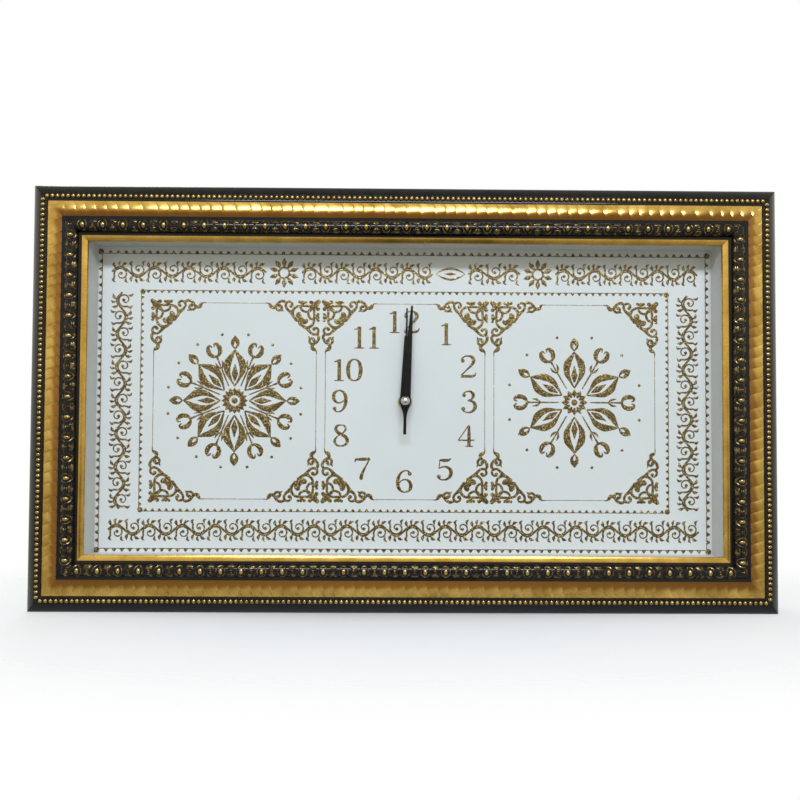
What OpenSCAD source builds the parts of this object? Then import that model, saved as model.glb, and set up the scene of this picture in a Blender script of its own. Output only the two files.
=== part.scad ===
// Picture wall clock: a shadow-box frame with a printed panel, and a quartz
// movement behind the panel that turns three hands on the middle of it.
// Millimetres. X is right, Z is up, the front faces -Y and the wall is Y = 0.
// The origin is the round hole of the hanger plate, just below the top rail's back.

/* [Frame] */
// Overall width of the frame
frame_w = 651; // [420:1:1000]
// Overall height of the frame
frame_h = 371; // [300:1:700]
// Width of the rounded outer edge of the moulding
edge_w = 9.4; // [6:0.1:11]
// Width of the channel that holds the bead row
bead_row_w = 4.2; // [3.9:0.1:6]
// Diameter of a bead
bead_d = 3.6; // [2:0.1:3.8]
// Distance from bead to bead
bead_pitch = 4.5; // [4:0.1:8]
// Width of the flat between the bead row and the cove
fillet_w = 2; // [1:0.1:4]
// Width of the cove
cove_w = 14.8; // [10:0.1:20]
// Slope of the cove at its outer edge, in degrees
cove_dip = 12; // [6:1:16]
// Slope where the cove starts to rise steeply, in degrees
cove_knee = 10; // [6:1:14]
// Slope of the cove at the egg row, in degrees
cove_end = 50; // [40:1:55]
// Width of the flat between the cove and the egg row
step_w = 2.7; // [1:0.1:5]
// Width of the egg row, which is a half round
egg_w = 10.5; // [7:0.1:12]
// Distance from egg to egg
egg_pitch = 17.3; // [10:0.1:30]
// Radius of an egg
egg_r = 3.4; // [2.5:0.1:4]
// How far an egg stands out of its half round
egg_rise = 0.5; // [0.2:0.1:1.5]
// Width of the flat between the egg row and the lip
quirk_w = 2.4; // [1:0.1:4]
// Width of the sloping lip round the window
lip_w = 4.5; // [4:0.1:6.5]
// Thickness of the lip at the sight edge
lip_t = 1.5; // [1:0.1:3]
// How far the lip falls towards the sight edge
lip_fall = 1.5; // [0.5:0.1:2.5]
// Width of the rabbet behind the lip
rabbet_w = 7.5; // [6:0.1:9]

/* [Window] */
// Thickness of the glass
glass_t = 2; // [1.5:0.1:4]
// Depth of the white strips between glass and panel
spacer_depth = 19; // [15:0.5:40]
// Thickness of the strips at the two sides
spacer_side_t = 6.3; // [4:0.1:7]
// Thickness of the strips above and below
spacer_top_t = 5.3; // [4:0.1:7]
// Thickness of the printed panel
panel_t = 3; // [2:0.1:4]
// How far the hand axis lies below the middle of the frame
dial_drop = 1.3; // [0:0.1:3]

/* [Fixings] */
// Length of a retaining point, half of it driven into the rail
point_l = 13; // [8:0.5:13]
// Width of a retaining point
point_w = 6; // [4:0.5:10]
// Thickness of a retaining point
point_t = 0.6; // [0.4:0.1:1]
// Retaining points along a long rail
points_long = 4; // [2:1:8]
// Retaining points along a short rail
points_short = 2; // [1:1:4]
// Length of one leg of a corner wedge
wedge_leg = 5; // [3:0.5:7]
// Thickness of a corner wedge
wedge_t = 0.8; // [0.5:0.1:1.2]
// Depth a corner wedge is driven
wedge_depth = 10; // [6:0.5:15]

/* [Hanger] */
// Distance of the hanger's round hole below the top rail
hanger_reach = 13; // [12:0.5:20]
// Width of the hanger plate
hanger_w = 36; // [30:1:60]
// Height of the plate's lap on the top rail
hanger_lap = 20; // [14:0.5:26]
// Thickness of the hanger plate
hanger_t = 1.5; // [1:0.1:2.5]
// Radius of the round hole that a screw head enters
keyhole_r = 4.5; // [3.5:0.1:5]
// Half width of the slot that the screw shank slides into
slot_r = 2.2; // [1.5:0.1:3]
// Length of the slot above the round hole
slot_l = 7; // [5:0.5:8]
// Metal left below the round hole
hanger_edge = 5; // [3:0.5:10]
// Distance between the hanger screws
screw_span = 22; // [14:0.5:26]
// Radius of a hanger screw's shank
screw_r = 1.5; // [1:0.1:2]
// Radius of a hanger screw's head
screw_head_r = 3.1; // [2.5:0.1:3.5]
// Length of a hanger screw
screw_l = 14; // [10:0.5:20]

/* [Movement] */
// Width of the movement case
case_w = 56; // [50:0.1:64]
// Room above the hand axis inside the case
room_above = 26.8; // [24:0.1:32]
// Gap between the centre wheel and the battery bay
train_gap = 0.64; // [0.4:0.01:2]
// Depth of the movement case
case_depth = 15.5; // [15.5:0.1:18]
// Wall thickness of the case
case_wall = 1.2; // [1:0.1:1.4]
// Gap between the case and the wall
wall_gap = 0.5; // [0.3:0.1:3]
// Thickness of the rubber gasket
gasket_t = 0.5; // [0.3:0.1:1]
// Radius of the rubber gasket
gasket_r = 14; // [10:0.5:20]
// Outside radius of the threaded bush
bush_r = 4; // [3.8:0.05:4.5]
// Length of the threaded bush in front of the case
bush_l = 7.5; // [7:0.1:12]
// Pitch of the bush thread
thread_pitch = 0.75; // [0.5:0.05:1]
// Depth of the bush thread
thread_depth = 0.35; // [0.2:0.05:0.45]
// Thickness of the brass nut
nut_t = 2; // [1.5:0.1:3]
// Radius of the brass nut over its corners
nut_r = 6.2; // [5.6:0.1:8]
// Thickness of the brass washer
washer_t = 0.4; // [0.3:0.1:0.8]
// Radius of the brass washer
washer_r = 6.4; // [6:0.1:9]
// Radius of the battery
battery_r = 7.1; // [6.8:0.05:7.15]
// Room for the contacts at both ends of the battery
contact_room = 3.1; // [2.8:0.1:5]
// Gap round the battery in its bay
battery_fit = 0.4; // [0.2:0.05:1]
// Radius of the battery's stud
stud_r = 2.75; // [2:0.05:3]
// Length of the battery's stud
stud_l = 1.2; // [1:0.1:1.6]
// Thickness of the contact strips
contact_t = 0.4; // [0.3:0.05:0.5]
// Thickness of the circuit board
board_t = 0.8; // [0.6:0.1:1]
// Diameter of the crystal can
crystal_d = 2; // [1.5:0.1:2.2]
// Length of the crystal can
crystal_l = 6; // [5:0.1:6.4]
// Radius of the coil winding
coil_r = 2.35; // [2:0.05:2.4]
// Room between the coil bobbin and the pillars at its two ends
coil_room = 10.5; // [9:0.1:14]
// Radius of the setting knob
knob_r = 5.5; // [4.5:0.1:6]

/* [Train] */
// Distance from the hand axis to the third wheel
third_arm = 11.25; // [11:0.05:11.6]
// Distance from the hand axis to the motion wheel
motion_arm = 7.2; // [7:0.05:7.5]
// Distance from the hand axis to the intermediate wheel
inter_arm = 7.8; // [7.6:0.05:8.2]
// Distance from the intermediate wheel to the rotor
rotor_arm = 7; // [6.8:0.05:7.3]
// Backlash taken off each flank of every tooth
tooth_play = 0.03; // [0.025:0.005:0.05]
// Thickness of the wheels
wheel_t = 0.7; // [0.5:0.05:0.8]
// Radius of the second hand's arbor
arbor_r = 0.75; // [0.6:0.05:0.8]
// Outside radius of the minute tube
minute_tube_r = 1.75; // [1.6:0.05:1.8]
// Outside radius of the hour tube
hour_tube_r = 2.5; // [2.4:0.05:2.6]
// Radius of the rotor magnet
magnet_r = 2.5; // [2:0.1:2.6]

/* [Hands] */
// Length of the hour hand
hour_l = 58.5; // [40:0.5:62]
// Length of the minute hand
minute_l = 85; // [60:0.5:110]
// Length of the second hand
second_l = 82; // [60:0.5:110]
// Length of the second hand's tail
tail_l = 29.5; // [20:0.5:35]
// Width of the hour and minute hands at the root
hand_root_w = 9.4; // [7.6:0.1:10]
// Width of the minute hand at its tip
minute_tip_w = 1.8; // [1:0.1:3]
// Width of the hour hand at its tip
hour_tip_w = 1.8; // [1:0.1:4]
// Width of the second hand's tail
tail_w = 2.6; // [1.5:0.1:4]
// Width of the second hand
second_w = 2.2; // [1:0.1:2.6]
// Thickness of the hands
hand_t = 0.5; // [0.3:0.05:0.6]
// Radius of the silver cap on the second hand
cap_r = 4; // [3:0.1:4.5]
// Height of the silver cap
cap_h = 2.2; // [2:0.1:3]
// Angle of the hour hand clockwise from twelve
hour_turn = 0; // [0:0.1:360]
// Angle of the minute hand clockwise from twelve
minute_turn = 3.85; // [0:0.05:360]
// Angle of the second hand clockwise from twelve
second_turn = 0.8; // [0:0.1:360]

/* [Fits] */
// Gap round the glass, panel and strips in the rabbet
pane_fit = 0.2; // [0.1:0.05:0.4]
// Radial running fit of tubes, arbors and pivots
run_fit = 0.05; // [0.03:0.01:0.08]
// Gap between parts that slide together when fitted
slip_fit = 0.1; // [0.05:0.05:0.2]

/* [Hidden] */
$fn = 64;
// Depths from the wall, counted towards the viewer
d_back = wall_gap;
d_case = d_back + case_depth;
d_panel = d_case + gasket_t;
d_face = d_panel + panel_t;
d_glass = d_face + spacer_depth;
d_lip = d_glass + glass_t;
// Distances across the moulding from its outer edge
u_bead = edge_w;
u_fillet = u_bead + bead_row_w;
u_cove = u_fillet + fillet_w;
u_step = u_cove + cove_w;
u_egg = u_step + step_w;
u_quirk = u_egg + egg_w;
u_lip = u_quirk + quirk_w;
moulding_w = u_lip + lip_w;
u_rabbet = moulding_w - rabbet_w;
// Levels of the moulding's rows
d_edge = d_lip + 2;
d_bed = d_lip + 1.5;
d_fillet = d_lip + 2.5;
d_quirk = d_lip + lip_t + lip_fall + 0.5;
d_egg = d_lip + 3.75;
// The cove is a flat arc and then a tighter one that rises to the egg row
cove_flat_w = 0.6 * cove_w;
cove_flat_r = cove_flat_w / (sin(cove_dip) + sin(cove_knee));
cove_rise_r = (cove_w - cove_flat_w) / (sin(cove_end) - sin(cove_knee));
flat_at = [u_cove + cove_flat_r * sin(cove_dip),
           d_fillet - 0.4 + cove_flat_r * cos(cove_dip)];
rise_at = flat_at + (cove_flat_r - cove_rise_r) * [sin(cove_knee), -cos(cove_knee)];
d_step = rise_at[1] - cove_rise_r * cos(cove_end) + 0.2;
// Frame positions
z_top = u_rabbet + hanger_reach;
z_mid = z_top - frame_h / 2;
z_low = z_top - frame_h;
sight_w = frame_w - 2 * moulding_w;
sight_h = frame_h - 2 * moulding_w;
pane_w = sight_w + 2 * (rabbet_w - pane_fit);
pane_h = sight_h + 2 * (rabbet_w - pane_fit);
clear_w = pane_w - 2 * spacer_side_t;
clear_h = pane_h - 2 * spacer_top_t;
hanger_low = -keyhole_r - hanger_edge;
hanger_h = hanger_reach + hanger_lap - hanger_low;
screw_z = hanger_reach + hanger_lap / 2;
wedge_u = [15, 32];
// Tooth numbers of the train
n_rotor = 10;
n_inter = 60;
n_inter_pin = 10;
n_second = 50;
n_second_pin = 10;
n_third = 75;
n_third_pin = 10;
n_centre = 80;
n_cannon = 12;
n_motion = 36;
n_motion_pin = 12;
n_hour = 48;
n_setting = 12;
// Modules follow from the centre distances
m_rotor = 2 * rotor_arm / (n_rotor + n_inter);
m_inter = 2 * inter_arm / (n_inter_pin + n_second);
m_second = 2 * third_arm / (n_second_pin + n_third);
m_third = 2 * third_arm / (n_third_pin + n_centre);
m_cannon = 2 * motion_arm / (n_cannon + n_motion);
m_hour = 2 * motion_arm / (n_motion_pin + n_hour);
setting_arm = m_cannon * (n_motion + n_setting) / 2;
// Directions between the axes, anticlockwise from the right
a_third = 35;
a_inter = 145;
a_rotor = 110;
a_motion = 180;
a_setting = 200;
third_at = third_arm * [cos(a_third), sin(a_third)];
inter_at = inter_arm * [cos(a_inter), sin(a_inter)];
rotor_at = inter_at + rotor_arm * [cos(a_rotor), sin(a_rotor)];
motion_at = motion_arm * [cos(a_motion), sin(a_motion)];
setting_at = motion_at + setting_arm * [cos(a_setting), sin(a_setting)];
// Tooth shape
pressure = 20;
pinion_add = 0.9;
wheel_add = 0.65;
dedendum = 1.25;
inv_pressure = tan(pressure) * 180 / PI - pressure;
// Each meshing gear starts half a pitch off its partner on the line of centres
function meshed(dir, phase, n, n_next) =
  dir + 180 - 360 / n_next * (0.5 - (dir - phase) * n / 360);
p_inter = meshed(a_rotor + 180, 0, n_rotor, n_inter);
p_second = meshed(a_inter + 180, 0, n_inter_pin, n_second);
p_third = meshed(a_third, 0, n_second_pin, n_third);
p_centre = meshed(a_third + 180, 0, n_third_pin, n_centre);
p_motion = meshed(a_motion, 0, n_cannon, n_motion);
p_setting = meshed(a_setting, p_motion, n_motion, n_setting);
p_hour = meshed(a_motion + 180, 0, n_motion_pin, n_hour);
// Levels inside the movement, back to front
d_cover = d_back + 1.5;
d_bridge = d_back + 2.9;
bridge_t = 0.8;
d_board = d_bridge - board_t;
d_pivot = d_bridge + bridge_t + 0.2;
d_stator = d_back + 4.7;
stator_t = 0.8;
d_magnet = d_back + 4.4;
magnet_l = 1.5;
d_rotor_pin = d_back + 6.2;
d_inter = d_back + 6.4;
d_second = d_back + 7.7;
d_third = d_back + 8.8;
d_plate = d_back + 9.9;
plate_t = 0.8;
d_centre = d_back + 11;
d_motion = d_back + 12.1;
d_hour = d_back + 13.2;
d_inner = d_case - case_wall;
d_bay = d_case - 1;
pivot_r = 0.4;
pivot_l = 0.8;
// Battery bay and contacts
half = case_w / 2;
inner = half - case_wall;
battery_l = 2 * inner - contact_room;
chamber_low = -m_third * (n_centre / 2 + wheel_add) - train_gap;
bay_wall = 1;
bay_top = chamber_low - bay_wall;
bay_low = bay_top - 2 * (battery_r + battery_fit);
case_low = bay_low - case_wall;
case_top = room_above + case_wall;
battery_z = (bay_top + bay_low) / 2;
battery_d = d_bay - battery_fit / 2 - battery_r;
battery_x0 = -inner + 1.8;
leaf_r = 8;
// Pillars that carry the plates, from the case's own size
pillar_x = half - 5.5;
pillars = [[-pillar_x, room_above - 3.8], [pillar_x, room_above - 3.8],
           [-pillar_x, chamber_low + 3.8], [pillar_x, chamber_low + 3.8]];
pin_r = 1.2;
coil_z = room_above - 5.8;
coil_x = -1.5;
coil_l = 2 * (pillar_x - coil_room);
stator_end = coil_l / 2 + 2.8;
board_x = [4, half - 2.5];
board_z = [chamber_low + 2.8, chamber_low + 14.8];
crystal_at = [15, chamber_low + 6.3];
// Levels of the hands
d_bush = d_case + bush_l;
d_hour_hand = d_bush + 1.1;
d_minute_hand = d_hour_hand + 3;
d_second_hand = d_minute_hand + 2.8;
d_hour_tube = d_hour_hand + 1.4;
d_minute_tube = d_minute_hand + 1.4;
d_arbor = d_second_hand + hand_t + 1.2;

// A flat outline in X and Z, made solid between two depths from the wall
module slab(d0, d1) {
  translate([0, -d0, 0]) rotate([90, 0, 0]) linear_extrude(d1 - d0) children();
}

// A profile of radius and depth, turned about the Y axis
module turned() {
  rotate([90, 0, 0]) rotate_extrude() children();
}

// A round bar along Y between two depths
module bar(r, d0, d1) {
  translate([0, -d0, 0]) rotate([90, 0, 0]) cylinder(r = r, h = d1 - d0);
}

// Moves children to a point of the X-Z plane
module at(p) {
  translate([p[0], 0, p[1]]) children();
}

// Moves children to the hand axis
module on_axis() {
  translate([0, 0, z_mid - dial_drop]) children();
}

// Moves children to the middle of the window
module in_window() {
  translate([0, 0, z_mid]) children();
}

// A straight strip between two points
module strip(p, q, w) {
  v = q - p;
  translate(p) rotate(atan2(v[1], v[0])) translate([0, -w / 2]) square([norm(v), w]);
}

// A rectangle with round corners
module rounded(w, h, r) {
  union() {
    square([w - 2 * r, h], center = true);
    square([w, h - 2 * r], center = true);
    for (x = [-1, 1], y = [-1, 1])
      translate([x * (w / 2 - r), y * (h / 2 - r)]) circle(r);
  }
}

// Half of the angle that a tooth spans at radius r
function tooth_half(n, m, r) =
  let (rp = n * m / 2, rb = rp * cos(pressure), a = r > rb ? acos(rb / r) : 0)
  90 / n - tooth_play / rp * 180 / PI + inv_pressure - (tan(a) * 180 / PI - a);

// Radii at which a flank is drawn: a pinion's flank is radial below its base circle
function flank(n, m, add) =
  let (rp = n * m / 2, rb = rp * cos(pressure), rr = rp - dedendum * m, rt = rp + add * m)
  rb > rr ? [rr, rb, (rb + rp) / 2, rp, (rp + rt) / 2, rt] : [rr, rp, rt];

// Outline of a spur gear with involute flanks
module teeth(n, m, add, phase) {
  radii = flank(n, m, add);
  k = len(radii);
  polygon([for (i = [0:n - 1], j = [0:2 * k - 1])
    let (r = j < k ? radii[j] : radii[2 * k - 1 - j],
         a = phase + 360 * i / n + (j < k ? -1 : 1) * tooth_half(n, m, r))
    r * [cos(a), sin(a)]]);
}

// A wheel's outline, with round windows between its spokes where there is room
module wheel(n, m, phase, hub) {
  rim = n * m / 2 - dedendum * m - 0.5;
  mid = (rim + hub) / 2;
  hole = min((rim - hub) / 2 * 0.85, mid * sin(36) * 0.8);
  difference() {
    teeth(n, m, wheel_add, phase);
    if (hole > 0.7) for (i = [0:4])
      rotate(72 * i + 20) translate([mid, 0]) circle(hole);
  }
}

// An arbor with a thinner pivot at each end
module arbor(r, tip, d0, d1, front) {
  bar(r, d0, d1);
  bar(tip, d0 - pivot_l - 0.1, d0);
  bar(tip, d1, d1 + front);
}

// Section of the moulding, across from the outer edge and up from the wall
module moulding() {
  difference() {
    union() {
      translate([edge_w, 0]) square([u_rabbet - edge_w, d_bed]);
      square([edge_w + 0.01, d_edge - edge_w]);
      intersection() {
        translate([edge_w, d_edge - edge_w]) circle(edge_w);
        translate([0, d_edge - edge_w - 0.01]) square([edge_w, edge_w + 1]);
      }
      translate([u_fillet, d_bed - 1]) square([u_step - u_fillet, d_fillet - d_bed + 1]);
      translate([u_cove + cove_flat_w, d_bed - 1])
        square([u_egg + egg_w / 2 - u_cove - cove_flat_w, d_step - d_bed + 1]);
      translate([u_egg, d_bed - 1]) square([egg_w, d_egg - d_bed + 1]);
      translate([u_egg + egg_w / 2, d_egg]) circle(egg_w / 2);
      translate([u_quirk, d_lip]) square([quirk_w, d_quirk - d_lip]);
      polygon([[u_lip, d_lip], [moulding_w, d_lip], [moulding_w, d_lip + lip_t],
               [u_lip, d_lip + lip_t + lip_fall]]);
      translate([u_rabbet - 0.5, d_lip]) square([0.5 + u_lip - u_rabbet, 0.5]);
    }
    intersection() {
      translate(flat_at) circle(cove_flat_r);
      translate([u_cove, d_fillet - 3]) square([cove_flat_w + 0.02, 8]);
    }
    intersection() {
      translate(rise_at) circle(cove_rise_r);
      translate([u_cove + cove_flat_w, d_fillet - 3]) square([cove_w - cove_flat_w, 8]);
    }
  }
}

// A rail with mitred ends, its outer edge on Z = 0
module rail(length, points) {
  difference() {
    union() {
      intersection() {
        multmatrix([[0, 0, -1, 0], [0, -1, 0, 0], [-1, 0, 0, 0], [0, 0, 0, 1]])
          linear_extrude(length, center = true) moulding();
        slab(-1, d_egg + egg_w)
          polygon([[-length / 2, 0], [length / 2, 0],
                   [length / 2 - moulding_w, -moulding_w],
                   [-length / 2 + moulding_w, -moulding_w]]);
      }
      row(length, u_bead + bead_row_w / 2, bead_pitch, bead_d / 2 + 0.3)
        translate([0, -d_bed, 0]) sphere(bead_d / 2);
      row(length, u_egg + egg_w / 2, egg_pitch, egg_r + 0.5)
        translate([0, egg_r - egg_rise - d_egg - egg_w / 2, 0]) sphere(egg_r);
    }
    for (i = [0:points - 1]) point(point_place(i, points, length));
    for (s = [-1, 1], u = wedge_u)
      translate([s * (length / 2 - u), 0, -u]) wedge(s);
  }
}

// Copies of an ornament along a rail at distance u from the outer edge, clear of the mitres
module row(length, u, pitch, margin) {
  n = floor((length - 2 * u - 2 * margin) / pitch);
  for (i = [0:n]) translate([(i - n / 2) * pitch, 0, -u]) children();
}

function point_place(i, points, length) =
  ((i + 0.5) / points - 0.5) * (length - 2 * moulding_w);

// A flat steel point with its sharp end in the rail
module point(x) {
  h = point_l / 2;
  translate([x, 0, -u_rabbet]) slab(d_panel - point_t, d_panel)
    polygon([[-point_w / 2, -h], [point_w / 2, -h], [point_w / 2, h * 0.4],
             [0, h], [-point_w / 2, h * 0.4]]);
}

// A bent steel wedge across a mitre, apex on the joint; s is the end of the rail
module wedge(s) {
  slab(0, wedge_depth)
    polygon([[0, 0], [-s * wedge_leg, 0], [-s * wedge_leg, -wedge_t],
             [-s * wedge_t, -wedge_t], [-s * wedge_t, -wedge_leg], [0, -wedge_leg]]);
}

module top_side() { translate([0, 0, z_top]) children(); }
module low_side() { translate([0, 0, z_low]) rotate([0, 180, 0]) children(); }
module left_side() { translate([-frame_w / 2, 0, z_mid]) rotate([0, -90, 0]) children(); }
module right_side() { translate([frame_w / 2, 0, z_mid]) rotate([0, 90, 0]) children(); }

// A countersunk screw, head flush with the hanger plate
module hanger_screw() {
  turned() polygon([[0, 0], [screw_head_r, 0], [screw_r, hanger_t],
                    [screw_r, screw_l - 3], [0, screw_l]]);
}

module frame_top() {
  color("goldenrod") difference() {
    top_side() rail(frame_w, points_long);
    slab(-1, hanger_t) hanger_outline();
    for (s = [-1, 1]) translate([s * screw_span / 2, 0, screw_z]) hanger_screw();
  }
}

module frame_bottom() {
  color("goldenrod") low_side() rail(frame_w, points_long);
}

module frame_left() {
  color("goldenrod") left_side() rail(frame_h, points_short);
}

module frame_right() {
  color("goldenrod") right_side() rail(frame_h, points_short);
}

module corner_wedges() {
  color("silver") {
    top_side() for (s = [-1, 1], u = wedge_u)
      translate([s * (frame_w / 2 - u), 0, -u]) wedge(s);
    low_side() for (s = [-1, 1], u = wedge_u)
      translate([s * (frame_w / 2 - u), 0, -u]) wedge(s);
  }
}

module retaining_points() {
  color("silver") {
    for (i = [0:points_long - 1]) {
      top_side() point(point_place(i, points_long, frame_w));
      low_side() point(point_place(i, points_long, frame_w));
    }
    for (i = [0:points_short - 1]) {
      left_side() point(point_place(i, points_short, frame_h));
      right_side() point(point_place(i, points_short, frame_h));
    }
  }
}

module glass_pane() {
  color("lightcyan", 0.3)
    in_window() slab(d_glass, d_lip) square([pane_w, pane_h], center = true);
}

// A white strip along one side of the window, between glass and panel
module spacer(x, z, w, h) {
  in_window() at([x, z]) slab(d_face, d_glass) square([w, h], center = true);
}

module spacer_top() {
  color("white") spacer(0, (pane_h + clear_h) / 4, pane_w, (pane_h - clear_h) / 2);
}

module spacer_bottom() {
  color("white") spacer(0, -(pane_h + clear_h) / 4, pane_w, (pane_h - clear_h) / 2);
}

module spacer_left() {
  color("white") spacer(-(pane_w + clear_w) / 4, 0, (pane_w - clear_w) / 2, clear_h);
}

module spacer_right() {
  color("white") spacer((pane_w + clear_w) / 4, 0, (pane_w - clear_w) / 2, clear_h);
}

module picture_panel() {
  color("white") in_window() slab(d_panel, d_face) difference() {
    square([pane_w, pane_h], center = true);
    translate([0, -dial_drop]) circle(bush_r + slip_fit);
  }
}

// Outline of the hanger plate: its upper half lies in the rail, its lower half hangs clear
module hanger_outline() {
  translate([-hanger_w / 2, hanger_low]) square([hanger_w, hanger_h]);
}

module hanger_plate() {
  color("silver") difference() {
    slab(0, hanger_t) hanger_outline();
    slab(-1, hanger_t + 1) union() {
      circle(keyhole_r);
      translate([0, slot_l]) circle(slot_r);
      translate([-slot_r, 0]) square([2 * slot_r, slot_l]);
    }
    for (s = [-1, 1]) translate([s * screw_span / 2, 0, screw_z]) hanger_screw();
  }
}

module hanger_screws() {
  color("silver") for (s = [-1, 1]) translate([s * screw_span / 2, 0, screw_z])
    difference() {
      hanger_screw();
      slab(-1, 0.8) union() {
        square([0.8, 3.6], center = true);
        square([3.6, 0.8], center = true);
      }
    }
}

// Case of the movement: gear chamber above, battery bay below, threaded bush in front
module movement_case() {
  color("dimgray") on_axis() {
    difference() {
      union() {
        slab(d_back, d_case) translate([0, (case_top + case_low) / 2])
          rounded(case_w, case_top - case_low, 3);
        turned() bush_profile();
      }
      slab(d_back - 1, d_inner) translate([-inner, chamber_low])
        square([2 * inner, room_above - chamber_low]);
      slab(d_back - 1, d_bay) translate([-inner, bay_low])
        square([2 * inner, bay_top - bay_low]);
      bar(hour_tube_r + run_fit, d_inner - 1, d_bush + 1);
      at(third_at) bar(pivot_r + run_fit, d_inner - 1, d_inner + 0.85);
      at(setting_at) bar(pivot_r + run_fit, d_inner - 1, d_inner + 0.85);
      for (s = [-1, 1]) slab(d_back + 1.4, d_back + 6.8)
        translate([s * (inner - contact_t / 2), bay_top + bay_wall / 2])
          square([contact_t + 2 * slip_fit, bay_wall + 1], center = true);
    }
    at(motion_at) bar(0.6, d_motion - 0.1, d_inner + 0.2);
    for (p = pillars) at(p) {
      bar(2.5, d_plate + plate_t, d_inner + 0.2);
      bar(pin_r, d_cover, d_plate + plate_t);
    }
  }
}

// Threaded bush: ridges of the thread as rings
module bush_profile() {
  rings = floor((bush_l - 1) / thread_pitch);
  root = bush_r - thread_depth;
  d0 = d_bush - 0.5 - rings * thread_pitch;
  polygon(concat(
    [[0, d_case - 0.5], [bush_r, d_case - 0.5], [bush_r, d0]],
    [for (i = [0:rings - 1], j = [0, 1])
      j == 0 ? [root, d0 + (i + 0.5) * thread_pitch] : [bush_r, d0 + (i + 1) * thread_pitch]],
    [[root, d_bush], [0, d_bush]]));
}

module movement_cover() {
  color("black") on_axis() difference() {
    slab(d_back, d_cover) translate([-inner + slip_fit, chamber_low + slip_fit])
      square([2 * (inner - slip_fit), room_above - chamber_low - 2 * slip_fit]);
    at(setting_at) bar(knob_r + 0.3, d_back - 1, d_cover + 1);
  }
}

module panel_gasket() {
  color("black") on_axis() slab(d_case, d_panel) difference() {
    circle(gasket_r);
    circle(bush_r + slip_fit);
  }
}

module brass_washer() {
  color("gold") on_axis() slab(d_face, d_face + washer_t) difference() {
    circle(washer_r);
    circle(bush_r + slip_fit);
  }
}

module brass_nut() {
  color("gold") on_axis() difference() {
    slab(d_face + washer_t, d_face + washer_t + nut_t) circle(nut_r, $fn = 6);
    bar(bush_r + run_fit, d_face, d_bush + 1);
  }
}

// Plate between the minute work and the going train, with pillars for the bridge
module middle_plate() {
  side = inner - 1.3;
  color("ivory") on_axis() difference() {
    union() {
      slab(d_plate, d_plate + plate_t) translate([-side, chamber_low + 1.3])
        square([2 * side, room_above - chamber_low - 2.6]);
      for (p = pillars) at(p) bar(2.3, d_bridge + bridge_t, d_plate + 0.1);
      for (s = [-1, 1]) at([coil_x + s * stator_end, coil_z])
        bar(1.4, d_stator + stator_t, d_plate + 0.1);
    }
    bar(arbor_r + run_fit, d_plate - 1, d_plate + 2);
    at(third_at) bar(m_third * (n_third_pin / 2 + pinion_add) + 0.2, d_plate - 1, d_plate + 2);
    at(setting_at) bar(1.2 + run_fit, d_plate - 1, d_plate + 2);
    for (p = [inter_at, rotor_at]) at(p) bar(pivot_r + run_fit, d_plate - 1, d_plate + 2);
    for (p = pillars) at(p) bar(pin_r + run_fit, d_bridge, d_plate + 2);
  }
}

// Back plate of the train, with a pivot hole for each arbor
module gear_bridge() {
  side = inner - 1.8;
  color("ivory") on_axis() difference() {
    slab(d_bridge, d_bridge + bridge_t) difference() {
      translate([-side, chamber_low + 1.8])
        square([2 * side, room_above - chamber_low - 3.6]);
      translate([coil_x - stator_end - 2.2, coil_z - 4])
        square([2 * stator_end + 4.4, 10]);
      translate(crystal_at) square([crystal_l + 1, crystal_d + 1], center = true);
    }
    for (p = [[0, 0], third_at, inter_at, rotor_at])
      at(p) bar(pivot_r + run_fit, d_bridge - 1, d_bridge + 2);
    at(setting_at) bar(1.2 + run_fit, d_bridge - 1, d_bridge + 2);
    for (p = pillars) at(p) bar(pin_r + run_fit, d_bridge - 1, d_bridge + 2);
  }
}

module battery() {
  color("darkgreen") on_axis() translate([battery_x0, -battery_d, battery_z]) rotate([0, 90, 0])
    rotate_extrude() polygon([[0, 0], [battery_r - 0.6, 0], [battery_r, 0.6],
      [battery_r, battery_l - stud_l - 0.6], [battery_r - 0.6, battery_l - stud_l],
      [stud_r, battery_l - stud_l], [stud_r, battery_l], [0, battery_l]]);
}

module contact_plus() {
  end = battery_x0 + battery_l;
  color("silver") on_axis() {
    translate([inner - contact_t, -d_back - 12, battery_z - 5])
      cube([contact_t, 10.3, 10]);
    translate([inner - contact_t, -d_back - 6.6, battery_z])
      cube([contact_t, 5, chamber_low + 6 - battery_z]);
    translate([end, -battery_d, battery_z]) rotate([0, 90, 0])
      cylinder(r = stud_r, h = inner - contact_t / 2 - end);
    translate([half - 3.9, -d_board, chamber_low + 3.6])
      cube([inner - half + 3.9, contact_t, 2.4]);
  }
}

module contact_minus() {
  color("silver") on_axis() {
    translate([-inner, -d_back - 12, battery_z - 6]) cube([contact_t, 10.3, 12]);
    translate([-inner, -d_back - 6.6, battery_z])
      cube([contact_t, 5, chamber_low + contact_t - battery_z]);
    translate([0, -d_back - 11.5, battery_z]) linear_leaf();
    translate([-inner, -d_back - 6.6, chamber_low]) cube([inner + 9, 2, contact_t]);
    translate([6, -d_back - 6.6, chamber_low]) cube([3, 6.6 + d_back - d_board + contact_t, contact_t]);
    translate([6, -d_board, chamber_low]) cube([3, contact_t, 5]);
  }
}

// Bowed leaf that presses on the flat end of the battery
module linear_leaf() {
  rotate([-90, 0, 0]) linear_extrude(9) intersection() {
    translate([battery_x0 - leaf_r, 0]) difference() {
      circle(leaf_r);
      circle(leaf_r - contact_t);
    }
    translate([-inner + contact_t / 2, -6]) square([3, 12]);
  }
}

module circuit_board() {
  color("darkgreen") on_axis() difference() {
    slab(d_board, d_bridge) translate([board_x[0], board_z[0]])
      square([board_x[1] - board_x[0], board_z[1] - board_z[0]]);
    at(pillars[3]) bar(pin_r + slip_fit, d_board - 1, d_bridge + 1);
  }
}

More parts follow.
